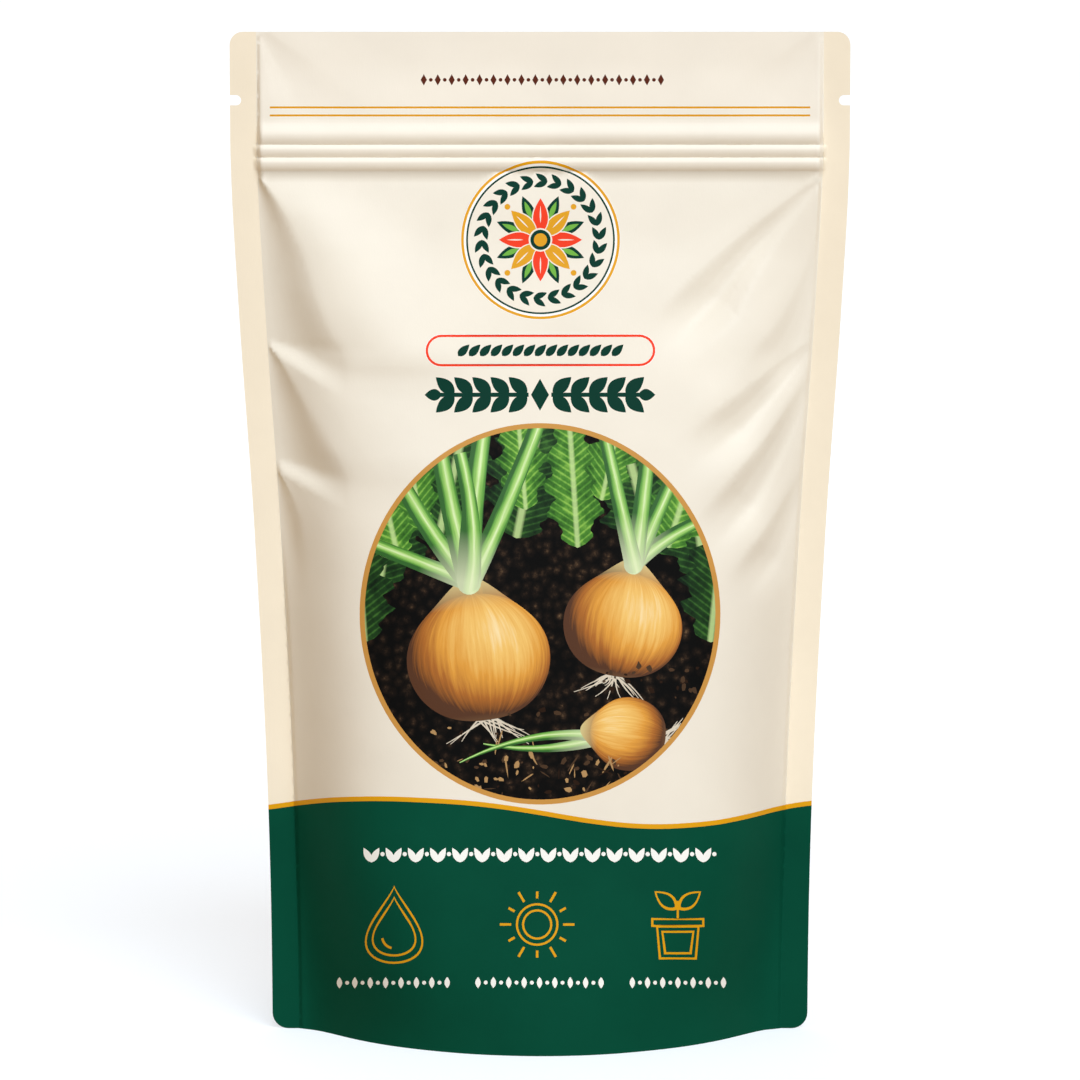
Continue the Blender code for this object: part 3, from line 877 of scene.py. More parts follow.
def cut_print(sheet, mirrored, folds, spacing):
    """Cuts a panel along the edges of its inks. Returns its points, triangles, inks and pattern coordinates."""
    outline = film_outline()
    shapes = [outline]
    for _, seen, _, _ in sheet.regions:
        shape = laid_on_film(seen)
        if mirrored:
            shape = shape * (-1, 1)
        x, z = shape[:, 0], shape[:, 1]
        turning = (x * np.roll(z, -1) - np.roll(x, -1) * z).sum()
        shapes.append(shape if turning > 0 else shape[::-1])
    rows = fold_rows(*folds)
    grid = film_grid(spacing)
    by_seal = np.abs(seal_edge(grid[:, 1]) - np.abs(grid[:, 0])) < 1.6
    clear = np.where(by_seal, CLEAR_OF_ROWS_AT_SEAL, CLEAR_OF_ROWS)
    grid = np.concatenate((rows, grid[~near_any(grid, rows, clear)]))
    edges = np.concatenate(shapes)
    on_rolls = np.abs(grid[:, 1] - 187.5) < 6.5
    grid = grid[~near_any(grid, edges, np.where(on_rolls, CLEAR_OF_INK_ON_ROLLS, CLEAR_OF_INK))]
    verts = [Vector(point) for point in grid if inside_outline(point)]
    edges = []
    for shape in shapes:
        first, count = len(verts), len(shape)
        verts += [Vector(p) for p in shape]
        edges += [(first + k, first + (k + 1) % count) for k in range(count)]
    points, _, triangles, *_ = delaunay_2d_cdt(verts, edges, [], 0, 1e-5)
    points, triangles = np.array(points)[:, :2], np.array(triangles)
    middles = points[triangles].mean(axis=1)
    on_film = inside_shape(middles, outline)
    triangles, middles = triangles[on_film], middles[on_film]
    kept, triangles = np.unique(triangles, return_inverse=True)
    points, triangles = points[kept], triangles.reshape(-1, 3)
    covered = [inside_shape(middles, shape) for shape in shapes[1:]]
    top = np.full(len(triangles), -1)
    for k, (_, _, _, crop) in enumerate(sheet.regions):
        top[covered[k] if crop is None else covered[k] & covered[crop]] = k
    inks = ["cream" if k < 0 else sheet.regions[k][0] for k in top]
    figures = np.array([-1 if k < 0 or sheet.regions[k][2] is None else k for k in top])
    return points, triangles, inks, figures


def inside_shape(points, shape):
    """Whether each point lies inside a closed outline, by the sides that a line to its right crosses."""
    held = np.zeros(len(points), bool)
    near = np.flatnonzero(((points > shape.min(axis=0)) & (points < shape.max(axis=0))).all(axis=1))
    x, z = points[near, 0, None], points[near, 1, None]
    x0, z0 = shape[:, 0], shape[:, 1]
    x1, z1 = np.roll(x0, -1), np.roll(z0, -1)
    crossing = x0 + (z - z0) * (x1 - x0) / np.where(z1 == z0, 1, z1 - z0)
    held[near] = (((z0 <= z) != (z1 <= z)) & (x < crossing)).sum(axis=1) % 2 == 1
    return held


def inside_outline(point):
    x, z = point
    within = CLEAR_OF_EDGE < z < POUCH_HEIGHT - CLEAR_OF_EDGE
    if not within or abs(x) > float(outer_edge(np.array(z))) - CLEAR_OF_EDGE:
        return False
    near_notch = abs(z - NOTCH_HEIGHT) < NOTCH_WIDTH / 2 + 0.3
    return not (near_notch and abs(x) > float(through(z, HALF_WIDTH)) - NOTCH_DEPTH - 0.3)


def seen_from_film(points, facing):
    """The reverse of laid_on_film: panel points as the camera sees them."""
    lean = math.radians(CAMERA_ELEVATION)
    far, middle = CAMERA_DISTANCE / MM, AIM.z / MM
    x, z = points[:, 0] * -facing, points[:, 1]
    out = smooth_stand_out(x, z) + FILM
    share = (far - (z - middle) * math.sin(lean) - out * math.cos(lean)) / far
    up = (z - middle) * math.cos(lean) - out * math.sin(lean)
    return np.column_stack((x / share, up / share))


# Materials


def linear(hex_colour):
    """An sRGB hex colour as linear red, green, blue and alpha."""
    channels = [int(hex_colour[i : i + 2], 16) / 255 for i in (1, 3, 5)]
    return [c / 12.92 if c <= 0.04045 else ((c + 0.055) / 1.055) ** 2.4 for c in channels] + [1.0]


def add_node(tree, kind, inputs=None, stops=(), **settings):
    """Adds a node. Each input is a plain value, or a node's output to link, or a node for its first output.
    stops are a colour ramp's, as (position, hex colour) pairs."""
    made = tree.nodes.new(kind)
    for name, value in settings.items():
        setattr(made, name, value)
    for name, value in (inputs or {}).items():
        if isinstance(value, bpy.types.Node):
            value = value.outputs[0]
        if isinstance(value, bpy.types.NodeSocket):
            tree.links.new(value, made.inputs[name])
        else:
            made.inputs[name].default_value = value
    for _ in stops[2:]:
        made.color_ramp.elements.new(0.5)
    for k, (position, colour) in enumerate(stops):
        element = made.color_ramp.elements[k]
        element.position, element.color = position, linear(colour)
    return made


def new_material(name):
    made = bpy.data.materials.new(name)
    made.use_nodes = True
    return made, made.node_tree, made.node_tree.nodes["Principled BSDF"]


# The size in millimetres of the film's tooth (coarser than the real one, so that it shows), of its crinkle,
# and of its uneven tone
FIBRE = 0.42
CRINKLE = 5.5
MOTTLE = 26.0


def finish_film(tree, shader, colour, roughness=0.44, mottle=0.03, gloss=0.2):
    """The matt varnish over every ink of the laminate: a fine fibrous tooth, a faint crinkle, a soft sheen, and
    slightly uneven tone."""
    place = add_node(tree, "ShaderNodeTexCoord").outputs["Object"]
    tone = add_node(
        tree, "ShaderNodeTexNoise", {"Vector": place, "Scale": 1000 / MOTTLE, "Detail": 4.0, "Roughness": 0.6}
    )
    value = add_node(
        tree,
        "ShaderNodeMapRange",
        {"Value": tone, "From Min": 0.3, "From Max": 0.7, "To Min": 1 - mottle, "To Max": 1 + mottle / 2},
    )
    toned = add_node(tree, "ShaderNodeHueSaturation", {"Value": value, "Color": colour})
    tree.links.new(toned.outputs[0], shader.inputs["Base Color"])
    shader.inputs["Roughness"].default_value = roughness
    shader.inputs["IOR"].default_value = 1.5
    shader.inputs["Specular IOR Level"].default_value = gloss
    slanted = (0, math.radians(38), 0)
    stretched = add_node(
        tree, "ShaderNodeMapping", {"Vector": place, "Rotation": slanted, "Scale": (1, 1, 0.2)}
    )
    fibre = add_node(
        tree,
        "ShaderNodeTexNoise",
        {"Vector": stretched, "Scale": 1000 / FIBRE, "Detail": 3.0, "Distortion": 1.2},
    )
    crinkle = add_node(tree, "ShaderNodeTexNoise", {"Vector": place, "Scale": 1000 / CRINKLE, "Detail": 2.0})
    large = add_node(tree, "ShaderNodeBump", {"Height": crinkle, "Strength": 0.25, "Distance": 0.12 * MM})
    fine = add_node(
        tree, "ShaderNodeBump", {"Height": fibre, "Strength": 0.5, "Distance": 0.03 * MM, "Normal": large}
    )
    tree.links.new(fine.outputs[0], shader.inputs["Normal"])


def plain_ink(name, hex_colour, roughness=0.46, mottle=0.04, gloss=0.2):
    """One opaque gravure ink under the varnish, of an even colour."""
    made, tree, shader = new_material(name)
    finish_film(tree, shader, linear(hex_colour), roughness, mottle, gloss)
    return made


def figure_parts(tree):
    """The picture's own coordinates: the vector, then its three values."""
    figure = add_node(tree, "ShaderNodeAttribute", attribute_name="figure", attribute_type="GEOMETRY")
    parts = add_node(tree, "ShaderNodeSeparateXYZ", {"Vector": figure.outputs["Vector"]})
    return figure.outputs["Vector"], *parts.outputs


def onion_ink():
    """The picture's onions: golden skin, rounded by its shading, with fine lines from the neck to the root."""
    made, tree, shader = new_material("print_picture_onion")
    _, across, up, mark = figure_parts(tree)
    math_kind = "ShaderNodeMath"
    up_squared = add_node(tree, math_kind, {0: up, 1: up}, operation="MULTIPLY")
    beyond = add_node(tree, math_kind, {0: 1.0, 1: up_squared}, operation="SUBTRACT")

    # The skin's lines, as the angle round the bulb and the height up it
    wide = add_node(tree, math_kind, {0: beyond, 1: 0.03}, operation="MAXIMUM")
    slice_width = add_node(tree, math_kind, {0: wide}, operation="SQRT")
    slant = add_node(tree, math_kind, {0: across, 1: slice_width}, operation="DIVIDE")
    turn = add_node(tree, math_kind, {0: slant}, operation="ARCSINE")
    turn = add_node(tree, math_kind, {0: turn, 1: 9.0}, operation="MULTIPLY")
    tall = add_node(tree, math_kind, {0: up, 1: 0.7}, operation="MULTIPLY")
    skin_place = add_node(tree, "ShaderNodeCombineXYZ", {"X": turn, "Y": tall, "Z": mark})
    lines = add_node(
        tree, "ShaderNodeTexNoise", {"Vector": skin_place, "Scale": 1.6, "Detail": 4.0, "Roughness": 0.6}
    )

    # The light on it, which falls from the upper right
    across_squared = add_node(tree, math_kind, {0: across, 1: across}, operation="MULTIPLY")
    nearness = add_node(tree, math_kind, {0: beyond, 1: across_squared}, operation="SUBTRACT")
    nearness = add_node(tree, math_kind, {0: nearness, 1: 0.0}, operation="MAXIMUM")
    nearness = add_node(tree, math_kind, {0: nearness}, operation="SQRT")
    light = -0.2
    for part, weight in ((across, 0.26), (up, 0.34), (nearness, 0.74), (lines, 0.42)):
        light = add_node(tree, math_kind, {0: part, 1: weight, 2: light}, operation="MULTIPLY_ADD")
    skin = add_node(
        tree,
        "ShaderNodeValToRGB",
        {"Fac": light},
        ((0.1, "#4E2A10"), (0.38, "#A8631F"), (0.62, "#DE9A38"), (0.82, "#F2C36A"), (1.0, "#FDEBBD")),
    )
    for start, end, most, colour in ((0.78, 1.22, 0.9, "#D3C58A"), (-0.84, -0.99, 0.8, "#6A4A2C")):
        share = add_node(
            tree, "ShaderNodeMapRange", {"Value": up, "From Min": start, "From Max": end, "To Max": most}
        )
        layers = {0: share, 6: skin, 7: linear(colour)}
        skin = add_node(tree, "ShaderNodeMix", layers, data_type="RGBA").outputs[2]
    finish_film(tree, shader, skin)
    return made


def shoot_ink():
    """The picture's shoots: round and smooth, pale along the light side, with fine lengthwise ribs."""
    made, tree, shader = new_material("print_picture_shoot")
    figure, along, across, _ = figure_parts(tree)
    stretched = add_node(tree, "ShaderNodeMapping", {"Vector": figure, "Scale": (0.08, 2.4, 1.0)})
    rib = add_node(tree, "ShaderNodeTexNoise", {"Vector": stretched, "Scale": 2.2, "Detail": 4.0})
    side = add_node(tree, "ShaderNodeMath", {0: across, 1: 0.22}, operation="ADD")
    side = add_node(tree, "ShaderNodeMath", {0: side}, operation="ABSOLUTE")
    side = add_node(tree, "ShaderNodeMath", {0: rib, 1: 0.45, 2: side}, operation="MULTIPLY_ADD")
    stops = ((0.18, "#DDF0B4"), (0.45, "#A2D06C"), (0.78, "#5F9F3A"), (1.0, "#2A5E20"))
    green = add_node(tree, "ShaderNodeValToRGB", {"Fac": side}, stops)
    young = add_node(
        tree, "ShaderNodeMapRange", {"Value": along, "From Max": 11.0, "To Min": 0.7, "To Max": 0.0}
    )
    pale = linear("#E6EDC4")
    green = add_node(tree, "ShaderNodeMix", {0: young, 6: green, 7: pale}, data_type="RGBA").outputs[2]
    finish_film(tree, shader, green)
    return made


def leaf_ink(name, light, middle, dark):
    """The picture's leaves: a pale midrib, side veins, and a mottled blade."""
    made, tree, shader = new_material(name)
    _, along, across, _ = figure_parts(tree)
    place = add_node(tree, "ShaderNodeTexCoord").outputs["Object"]
    side = add_node(tree, "ShaderNodeMath", {0: across}, operation="ABSOLUTE")
    slant = add_node(tree, "ShaderNodeMath", {0: side, 1: -4.0, 2: along}, operation="MULTIPLY_ADD")
    wave = add_node(tree, "ShaderNodeMath", {0: slant, 1: 2.1}, operation="MULTIPLY")
    wave = add_node(tree, "ShaderNodeMath", {0: wave}, operation="SINE")
    wave = add_node(tree, "ShaderNodeMath", {0: wave}, operation="ABSOLUTE")
    vein = add_node(tree, "ShaderNodeMath", {0: wave, 1: 7.0}, operation="POWER")
    blade = add_node(
        tree, "ShaderNodeTexNoise", {"Vector": place, "Scale": 1000 / 3.1, "Detail": 6.0, "Roughness": 0.65}
    )
    tone = add_node(tree, "ShaderNodeMath", {0: vein, 1: 0.22, 2: blade}, operation="MULTIPLY_ADD")
    tone = add_node(tree, "ShaderNodeMath", {0: side, 1: -0.22, 2: tone}, operation="MULTIPLY_ADD")
    green = add_node(tree, "ShaderNodeValToRGB", {"Fac": tone}, ((0.22, dark), (0.48, middle), (0.72, light)))
    rib = add_node(
        tree,
        "ShaderNodeMapRange",
        {"Value": side, "From Min": 0.05, "From Max": 0.13, "To Min": 0.75, "To Max": 0.0},
    )
    pale = linear("#C3DE94")
    green = add_node(tree, "ShaderNodeMix", {0: rib, 6: green, 7: pale}, data_type="RGBA").outputs[2]
    finish_film(tree, shader, green, gloss=0.08)
    return made


def soil_ink():
    """The picture's ground: near-black soil with brown crumbs and a few pale bits."""
    made, tree, shader = new_material("print_picture_soil")
    place = add_node(tree, "ShaderNodeTexCoord").outputs["Object"]
    crumbs = add_node(tree, "ShaderNodeTexVoronoi", {"Vector": place, "Scale": 1000 / 2.1})
    grain = add_node(
        tree, "ShaderNodeTexNoise", {"Vector": place, "Scale": 1000 / 1.1, "Detail": 5.0, "Roughness": 0.75}
    )
    lumps = add_node(tree, "ShaderNodeTexNoise", {"Vector": place, "Scale": 1000 / 14.0, "Detail": 3.0})
    crumb = add_node(tree, "ShaderNodeMath", {0: 1.0, 1: crumbs}, operation="SUBTRACT")
    tone = add_node(tree, "ShaderNodeMath", {0: grain, 1: crumb}, operation="MULTIPLY")
    tone = add_node(tree, "ShaderNodeMath", {0: lumps, 1: 0.28, 2: tone}, operation="MULTIPLY_ADD")
    stops = ((0.30, "#080706"), (0.46, "#17110D"), (0.60, "#33261C"), (0.72, "#5B4632"), (0.86, "#9A7F5E"))
    finish_film(tree, shader, add_node(tree, "ShaderNodeValToRGB", {"Fac": tone}, stops), gloss=0.04)
    return made


def film_inside_material():
    """The pouch's inner ply: plain polyethylene, milky and satin."""
    made, tree, shader = new_material("polyethylene_inner_ply")
    place = add_node(tree, "ShaderNodeTexCoord").outputs["Object"]
    haze = add_node(tree, "ShaderNodeTexNoise", {"Vector": place, "Scale": 1000 / 8.0, "Detail": 3.0})
    milky = add_node(tree, "ShaderNodeValToRGB", {"Fac": haze}, ((0.3, "#DAD8D2"), (0.7, "#E8E6E0")))
    tree.links.new(milky.outputs[0], shader.inputs["Base Color"])
    shader.inputs["Roughness"].default_value = 0.3
    shader.inputs["IOR"].default_value = 1.51
    return made


def zipper_material():
    """Extruded polyethylene: translucent and smooth, with faint lines along the extrusion."""
    made, tree, shader = new_material("extruded_polyethylene_zipper")
    place = add_node(tree, "ShaderNodeTexCoord").outputs["Object"]
    stretched = add_node(tree, "ShaderNodeMapping", {"Vector": place, "Scale": (0.02, 1, 1)})
    lines = add_node(tree, "ShaderNodeTexNoise", {"Vector": stretched, "Scale": 1000 / 0.4})
    tone = add_node(tree, "ShaderNodeValToRGB", {"Fac": lines}, ((0.3, "#E3DFD5"), (0.7, "#EFEBE2")))
    tree.links.new(tone.outputs[0], shader.inputs["Base Color"])
    bump = add_node(tree, "ShaderNodeBump", {"Height": lines, "Strength": 0.3, "Distance": 0.03 * MM})
    tree.links.new(bump.outputs[0], shader.inputs["Normal"])
    shader.inputs["Roughness"].default_value = 0.32
    shader.inputs["IOR"].default_value = 1.51
    return made


def seed_material():
    """Dry brassica seed: hard, round, and dull red-brown to nearly black."""
    made, tree, shader = new_material("dry_brassica_seed")
    place = add_node(tree, "ShaderNodeTexCoord").outputs["Object"]
    cells = add_node(tree, "ShaderNodeTexVoronoi", {"Vector": place, "Scale": 1000 / 1.9})
    shade = add_node(tree, "ShaderNodeSeparateColor", {"Color": cells.outputs["Color"]})
    stops = ((0.0, "#1E1410"), (0.5, "#3D2619"), (1.0, "#5E3A24"))
    tone = add_node(tree, "ShaderNodeValToRGB", {"Fac": shade}, stops)
    tree.links.new(tone.outputs[0], shader.inputs["Base Color"])
    bump = add_node(tree, "ShaderNodeBump", {"Height": cells, "Strength": 0.6, "Distance": 0.5 * MM})
    tree.links.new(bump.outputs[0], shader.inputs["Normal"])
    shader.inputs["Roughness"].default_value = 0.55
    return made


def make_inks():
    """The inks in the order in which a panel's materials are numbered. The dark ones show the sheen least."""
    return {
        # The body's cream ground is painted a touch darker than the header's, and the header's a touch lighter:
        # painted shade below the zipper and painted light above it.
        "cream": plain_ink("print_cream_ground_painted_shade", "#EDE4D3", 0.44, 0.035),
        "header_cream": plain_ink("print_cream_header_painted_light", "#F4EBDB", 0.44, 0.035),
        # The seals' cream is a little darker and yellower than the header's: painted shade.
        "seal_cream": plain_ink("print_cream_seal_painted_shade", "#F5E7CE", 0.44, 0.035),
        "green": plain_ink("print_forest_green_ground", "#064A36", 0.55, 0.10, 0.02),
        "gold": plain_ink("print_gold", "#E09E06", gloss=0.12),
        "brown": plain_ink("print_brown", "#5A2718", gloss=0.05),
        "red": plain_ink("print_orange_red", "#F23A12", gloss=0.1),
        "deep_green": plain_ink("print_deep_green", "#04372A", gloss=0.04),
        "young_green": plain_ink("print_young_green", "#6FB03F", gloss=0.1),
        "white": plain_ink("print_white", "#F8F7F0"),
        "rim": plain_ink("print_tan_rim", "#C99144", gloss=0.12),
        "soil": soil_ink(),
        "onion": onion_ink(),
        "shoot": shoot_ink(),
        "leaf": leaf_ink("print_picture_leaf", "#8CBF4E", "#4A862D", "#234E1A"),
        "leaf_dark": leaf_ink("print_picture_leaf_shade", "#3F6E2C", "#1C3D18", "#081A09"),
        "straw": plain_ink("print_picture_straw", "#B08A5A", gloss=0.08),
        "hair": plain_ink("print_picture_fine_root", "#D9CDB8", gloss=0.1),
        "speck": plain_ink("print_picture_soil_speck", "#2B1C13", gloss=0.03),
        "crumb": plain_ink("print_picture_crumb", "#4A3626", gloss=0.04),
    }


# Geometry Nodes


def geometry_tree(name, inputs):
    """An empty tree with a geometry input and output, and named inputs for its sizes."""
    tree = bpy.data.node_groups.new(name, "GeometryNodeTree")
    tree.interface.new_socket("Geometry", in_out="INPUT", socket_type="NodeSocketGeometry")
    for label, kind in inputs:
        tree.interface.new_socket(label, in_out="INPUT", socket_type=kind)
    tree.interface.new_socket("Geometry", in_out="OUTPUT", socket_type="NodeSocketGeometry")
    return tree, add_node(tree, "NodeGroupInput"), add_node(tree, "NodeGroupOutput")


def grown(obj, tree, values):
    """Runs a tree on an object, with its inputs set, and keeps the result as a plain mesh."""
    modifier = obj.modifiers.new(tree.name, "NODES")
    modifier.node_group = tree
    for item in tree.interface.items_tree:
        if item.item_type == "SOCKET" and item.in_out == "INPUT" and item.name in values:
            modifier[item.identifier] = values[item.name]
    depsgraph = bpy.context.evaluated_depsgraph_get()
    mesh = bpy.data.meshes.new_from_object(
        obj.evaluated_get(depsgraph), preserve_all_data_layers=True, depsgraph=depsgraph
    )
    name = obj.name
    bpy.data.objects.remove(obj, do_unlink=True)
    mesh.name = name
    return linked_object(name, mesh)


def linked_object(name, data):
    obj = bpy.data.objects.new(name, data)
    bpy.context.scene.collection.objects.link(obj)
    return obj


def film_tree():
    """Stands a flat sheet of print out into the filled pouch, and gives it a thickness and a cut edge."""
    tree, given, result = geometry_tree(
        "fill_and_thicken_film",
        (
            ("Film thickness", "NodeSocketFloat"),
            ("Half seam gap", "NodeSocketFloat"),
            ("Facing", "NodeSocketFloat"),
            ("Inner ply", "NodeSocketMaterial"),
            ("Cut edge", "NodeSocketMaterial"),
        ),
    )
    height = add_node(tree, "GeometryNodeInputNamedAttribute", {"Name": "stand_out"}, data_type="FLOAT")
    outward = add_node(tree, "GeometryNodeInputNamedAttribute", {"Name": "outward"}, data_type="FLOAT_VECTOR")
    out = {0: height.outputs["Attribute"], 1: given.outputs["Half seam gap"]}
    raised = add_node(tree, "ShaderNodeMath", out, operation="ADD")
    raised = add_node(tree, "ShaderNodeMath", {0: raised, 1: given.outputs["Facing"]}, operation="MULTIPLY")
    offset = add_node(tree, "ShaderNodeCombineXYZ", {"Y": raised})
    filled = add_node(
        tree, "GeometryNodeSetPosition", {"Geometry": given.outputs["Geometry"], "Offset": offset}
    )
    skin = add_node(
        tree,
        "GeometryNodeExtrudeMesh",
        {
            "Mesh": filled.outputs["Geometry"],
            "Offset": outward.outputs["Attribute"],
            "Offset Scale": given.outputs["Film thickness"],
            "Individual": False,
        },
        mode="FACES",
    )
    inner = add_node(tree, "GeometryNodeFlipFaces", {"Mesh": filled.outputs["Geometry"]})
    inner = add_node(
        tree,
        "GeometryNodeSetMaterial",
        {"Geometry": inner.outputs["Mesh"], "Material": given.outputs["Inner ply"]},
    )
    both = add_node(tree, "GeometryNodeJoinGeometry")
    tree.links.new(skin.outputs["Mesh"], both.inputs["Geometry"])
    tree.links.new(inner.outputs["Geometry"], both.inputs["Geometry"])
    closed = add_node(
        tree, "GeometryNodeMergeByDistance", {"Geometry": both.outputs["Geometry"], "Distance": 0.0005 * MM}
    )
    real = add_node(tree, "GeometryNodeRealizeInstances", {"Geometry": closed.outputs["Geometry"]})
    edged = add_node(
        tree,
        "GeometryNodeSetMaterial",
        {
            "Geometry": real.outputs["Geometry"],
            "Selection": skin.outputs["Side"],
            "Material": given.outputs["Cut edge"],
        },
    )
    tree.links.new(edged.outputs["Geometry"], result.inputs["Geometry"])
    return tree


def film_panel(name, facing, sheet, folds, inks, spacing, tree, plies):
    """One film panel, printed on its outside. facing is -1 for the front, and 1 for the back."""
    points, triangles, ink_names, figures = cut_print(sheet, facing > 0, folds, spacing)
    if facing > 0:
        triangles = triangles[:, ::-1]
    x, z = points[:, 0], points[:, 1]
    step = SLOPE_STEP
    height = stand_out(x, z, folds)
    slope_x = (stand_out(x + step, z, folds) - stand_out(x - step, z, folds)) / (2 * step)
    slope_z = (stand_out(x, z + step, folds) - stand_out(x, z - step, folds)) / (2 * step)
    flat = (z < 0.01) | (z > POUCH_HEIGHT - 0.01)
    slope_z = np.where(flat, 0, slope_z)
    outward = np.column_stack((-slope_x, np.full(len(x), float(facing)), -slope_z))
    outward /= np.linalg.norm(outward, axis=1)[:, None]

    mesh = bpy.data.meshes.new(name)
    flat_points = np.column_stack((x, np.zeros(len(x)), z)) * MM
    mesh.from_pydata(flat_points.tolist(), [], triangles.tolist())
    used = sorted(set(ink_names), key=list(inks).index)
    for ink in used:
        mesh.materials.append(inks[ink])
    mesh.polygons.foreach_set("material_index", [used.index(ink) for ink in ink_names])
    mesh.attributes.new("stand_out", "FLOAT", "POINT").data.foreach_set("value", height * MM)
    mesh.attributes.new("outward", "FLOAT_VECTOR", "POINT").data.foreach_set("vector", outward.ravel())
    figure = np.zeros((len(triangles), 3, 3))
    for region in set(figures[figures >= 0].tolist()):
        mine = figures == region
        corners = seen_from_film(points[triangles[mine]].reshape(-1, 2), facing)
        figure[mine] = sheet.regions[region][2](corners).reshape(-1, 3, 3)
    mesh.attributes.new("figure", "FLOAT_VECTOR", "CORNER").data.foreach_set("vector", figure.ravel())
    panel = linked_object(name, mesh)
    panel = grown(
        panel,
        tree,
        {
            "Film thickness": FILM * MM,
            "Half seam gap": HALF_SEAM_GAP * MM,
            "Facing": float(facing),
            "Inner ply": plies[0],
            "Cut edge": plies[1],
        },
    )
    shade_by_surface(panel.data)
    return panel


def shade_by_surface(mesh):
    """Shades a panel by the true slope of its surface, so that the cuts between inks don't show."""
    count = len(mesh.vertices)
    outward = np.empty(count * 3)
    mesh.attributes["outward"].data.foreach_get("vector", outward)
    outward = outward.reshape(-1, 3)
    normals = np.empty(len(mesh.polygons) * 3)
    mesh.polygons.foreach_get("normal", normals)
    normals = normals.reshape(-1, 3)
    totals = np.empty(len(mesh.polygons), int)
    mesh.polygons.foreach_get("loop_total", totals)
    corner_verts = np.empty(len(mesh.loops), int)
    mesh.loops.foreach_get("vertex_index", corner_verts)
    face_of_corner = np.repeat(np.arange(len(totals)), totals)
    along = (outward[corner_verts] * normals[face_of_corner]).sum(axis=1)
    face_along = np.zeros(len(totals))
    np.add.at(face_along, face_of_corner, along)
    face_along /= totals
    side = np.where(np.abs(face_along) > 0.5, np.sign(face_along), 0)[face_of_corner]
    smooth = outward[corner_verts] * side[:, None]
    corner_normals = np.where(side[:, None] == 0, normals[face_of_corner], smooth)
    mesh.shade_smooth()
    mesh.normals_split_custom_set(corner_normals.tolist())


def gusset_shape(x):
    """(half depth, straight rise, dome height) of the gusset's middle line at x."""
    half_deep = HALF_SEAM_GAP + smooth_stand_out(x, np.zeros_like(x)) - GUSSET_CLEARANCE - FILM / 2
    share = np.abs(x) / seal_edge(0.0)
    tall = GUSSET_MIDDLE + (GUSSET_SIDES - GUSSET_MIDDLE) * share**3 - FLANGE
    dome = np.minimum(tall, half_deep)
    return half_deep, tall - dome, dome


def bottom_gusset(material):
    """The folded base: a flange welded to each panel, and between them a web that rises to the sides."""
    edge = float(seal_edge(0.0))
    shares = GUSSET_REACH * np.sin(np.linspace(-np.pi / 2, np.pi / 2, 73))
    turns = np.linspace(0, np.pi, 37)
    near, far = [], []
    for x in shares * edge:
        half_deep, rise, dome = (float(v) for v in gusset_shape(np.array(x)))
        wall = [(-half_deep, h) for h in (0.0, FLANGE / 2, FLANGE, FLANGE + rise / 2)]
        line = wall + [(-half_deep * np.cos(t), FLANGE + rise + dome * np.sin(t)) for t in turns]
        line = np.array(line + [(-y, z) for y, z in wall[::-1]])
        along = np.gradient(line, axis=0)
        along[:3], along[-3:] = (0, 1), (0, -1)
        along /= np.linalg.norm(along, axis=1)[:, None]
        upward = np.column_stack((-along[:, 1], along[:, 0]))
        for grid, way in ((near, -0.5), (far, 0.5)):
            offset = line + upward * FILM * way
            offset[[0, -1], 1] = 0
            grid.append(np.column_stack((np.full(len(line), x), offset)))
    bm = bmesh.new()
    grids = [[[bm.verts.new(p * MM) for p in row] for row in points] for points in (near, far)]
    for verts in grids:
        for i in range(len(verts) - 1):
            for j in range(len(verts[0]) - 1):
                bm.faces.new((verts[i][j], verts[i][j + 1], verts[i + 1][j + 1], verts[i + 1][j]))
    rims = []
    for verts in grids:
        there = list(verts[0]) + [row[-1] for row in verts[1:]]
        rims.append(there + verts[-1][-2::-1] + [row[0] for row in verts[-2:0:-1]])
    for k in range(len(rims[0])):
        m = (k + 1) % len(rims[0])
        bm.faces.new((rims[0][k], rims[1][k], rims[1][m], rims[0][m]))
    bmesh.ops.recalc_face_normals(bm, faces=bm.faces[:])
    mesh = bpy.data.meshes.new("gusset_film")
    bm.to_mesh(mesh)
    bm.free()
    mesh.shade_smooth()
    mesh.set_sharp_from_angle(angle=math.radians(45))
    mesh.materials.append(material)
    return linked_object("gusset_film", mesh)


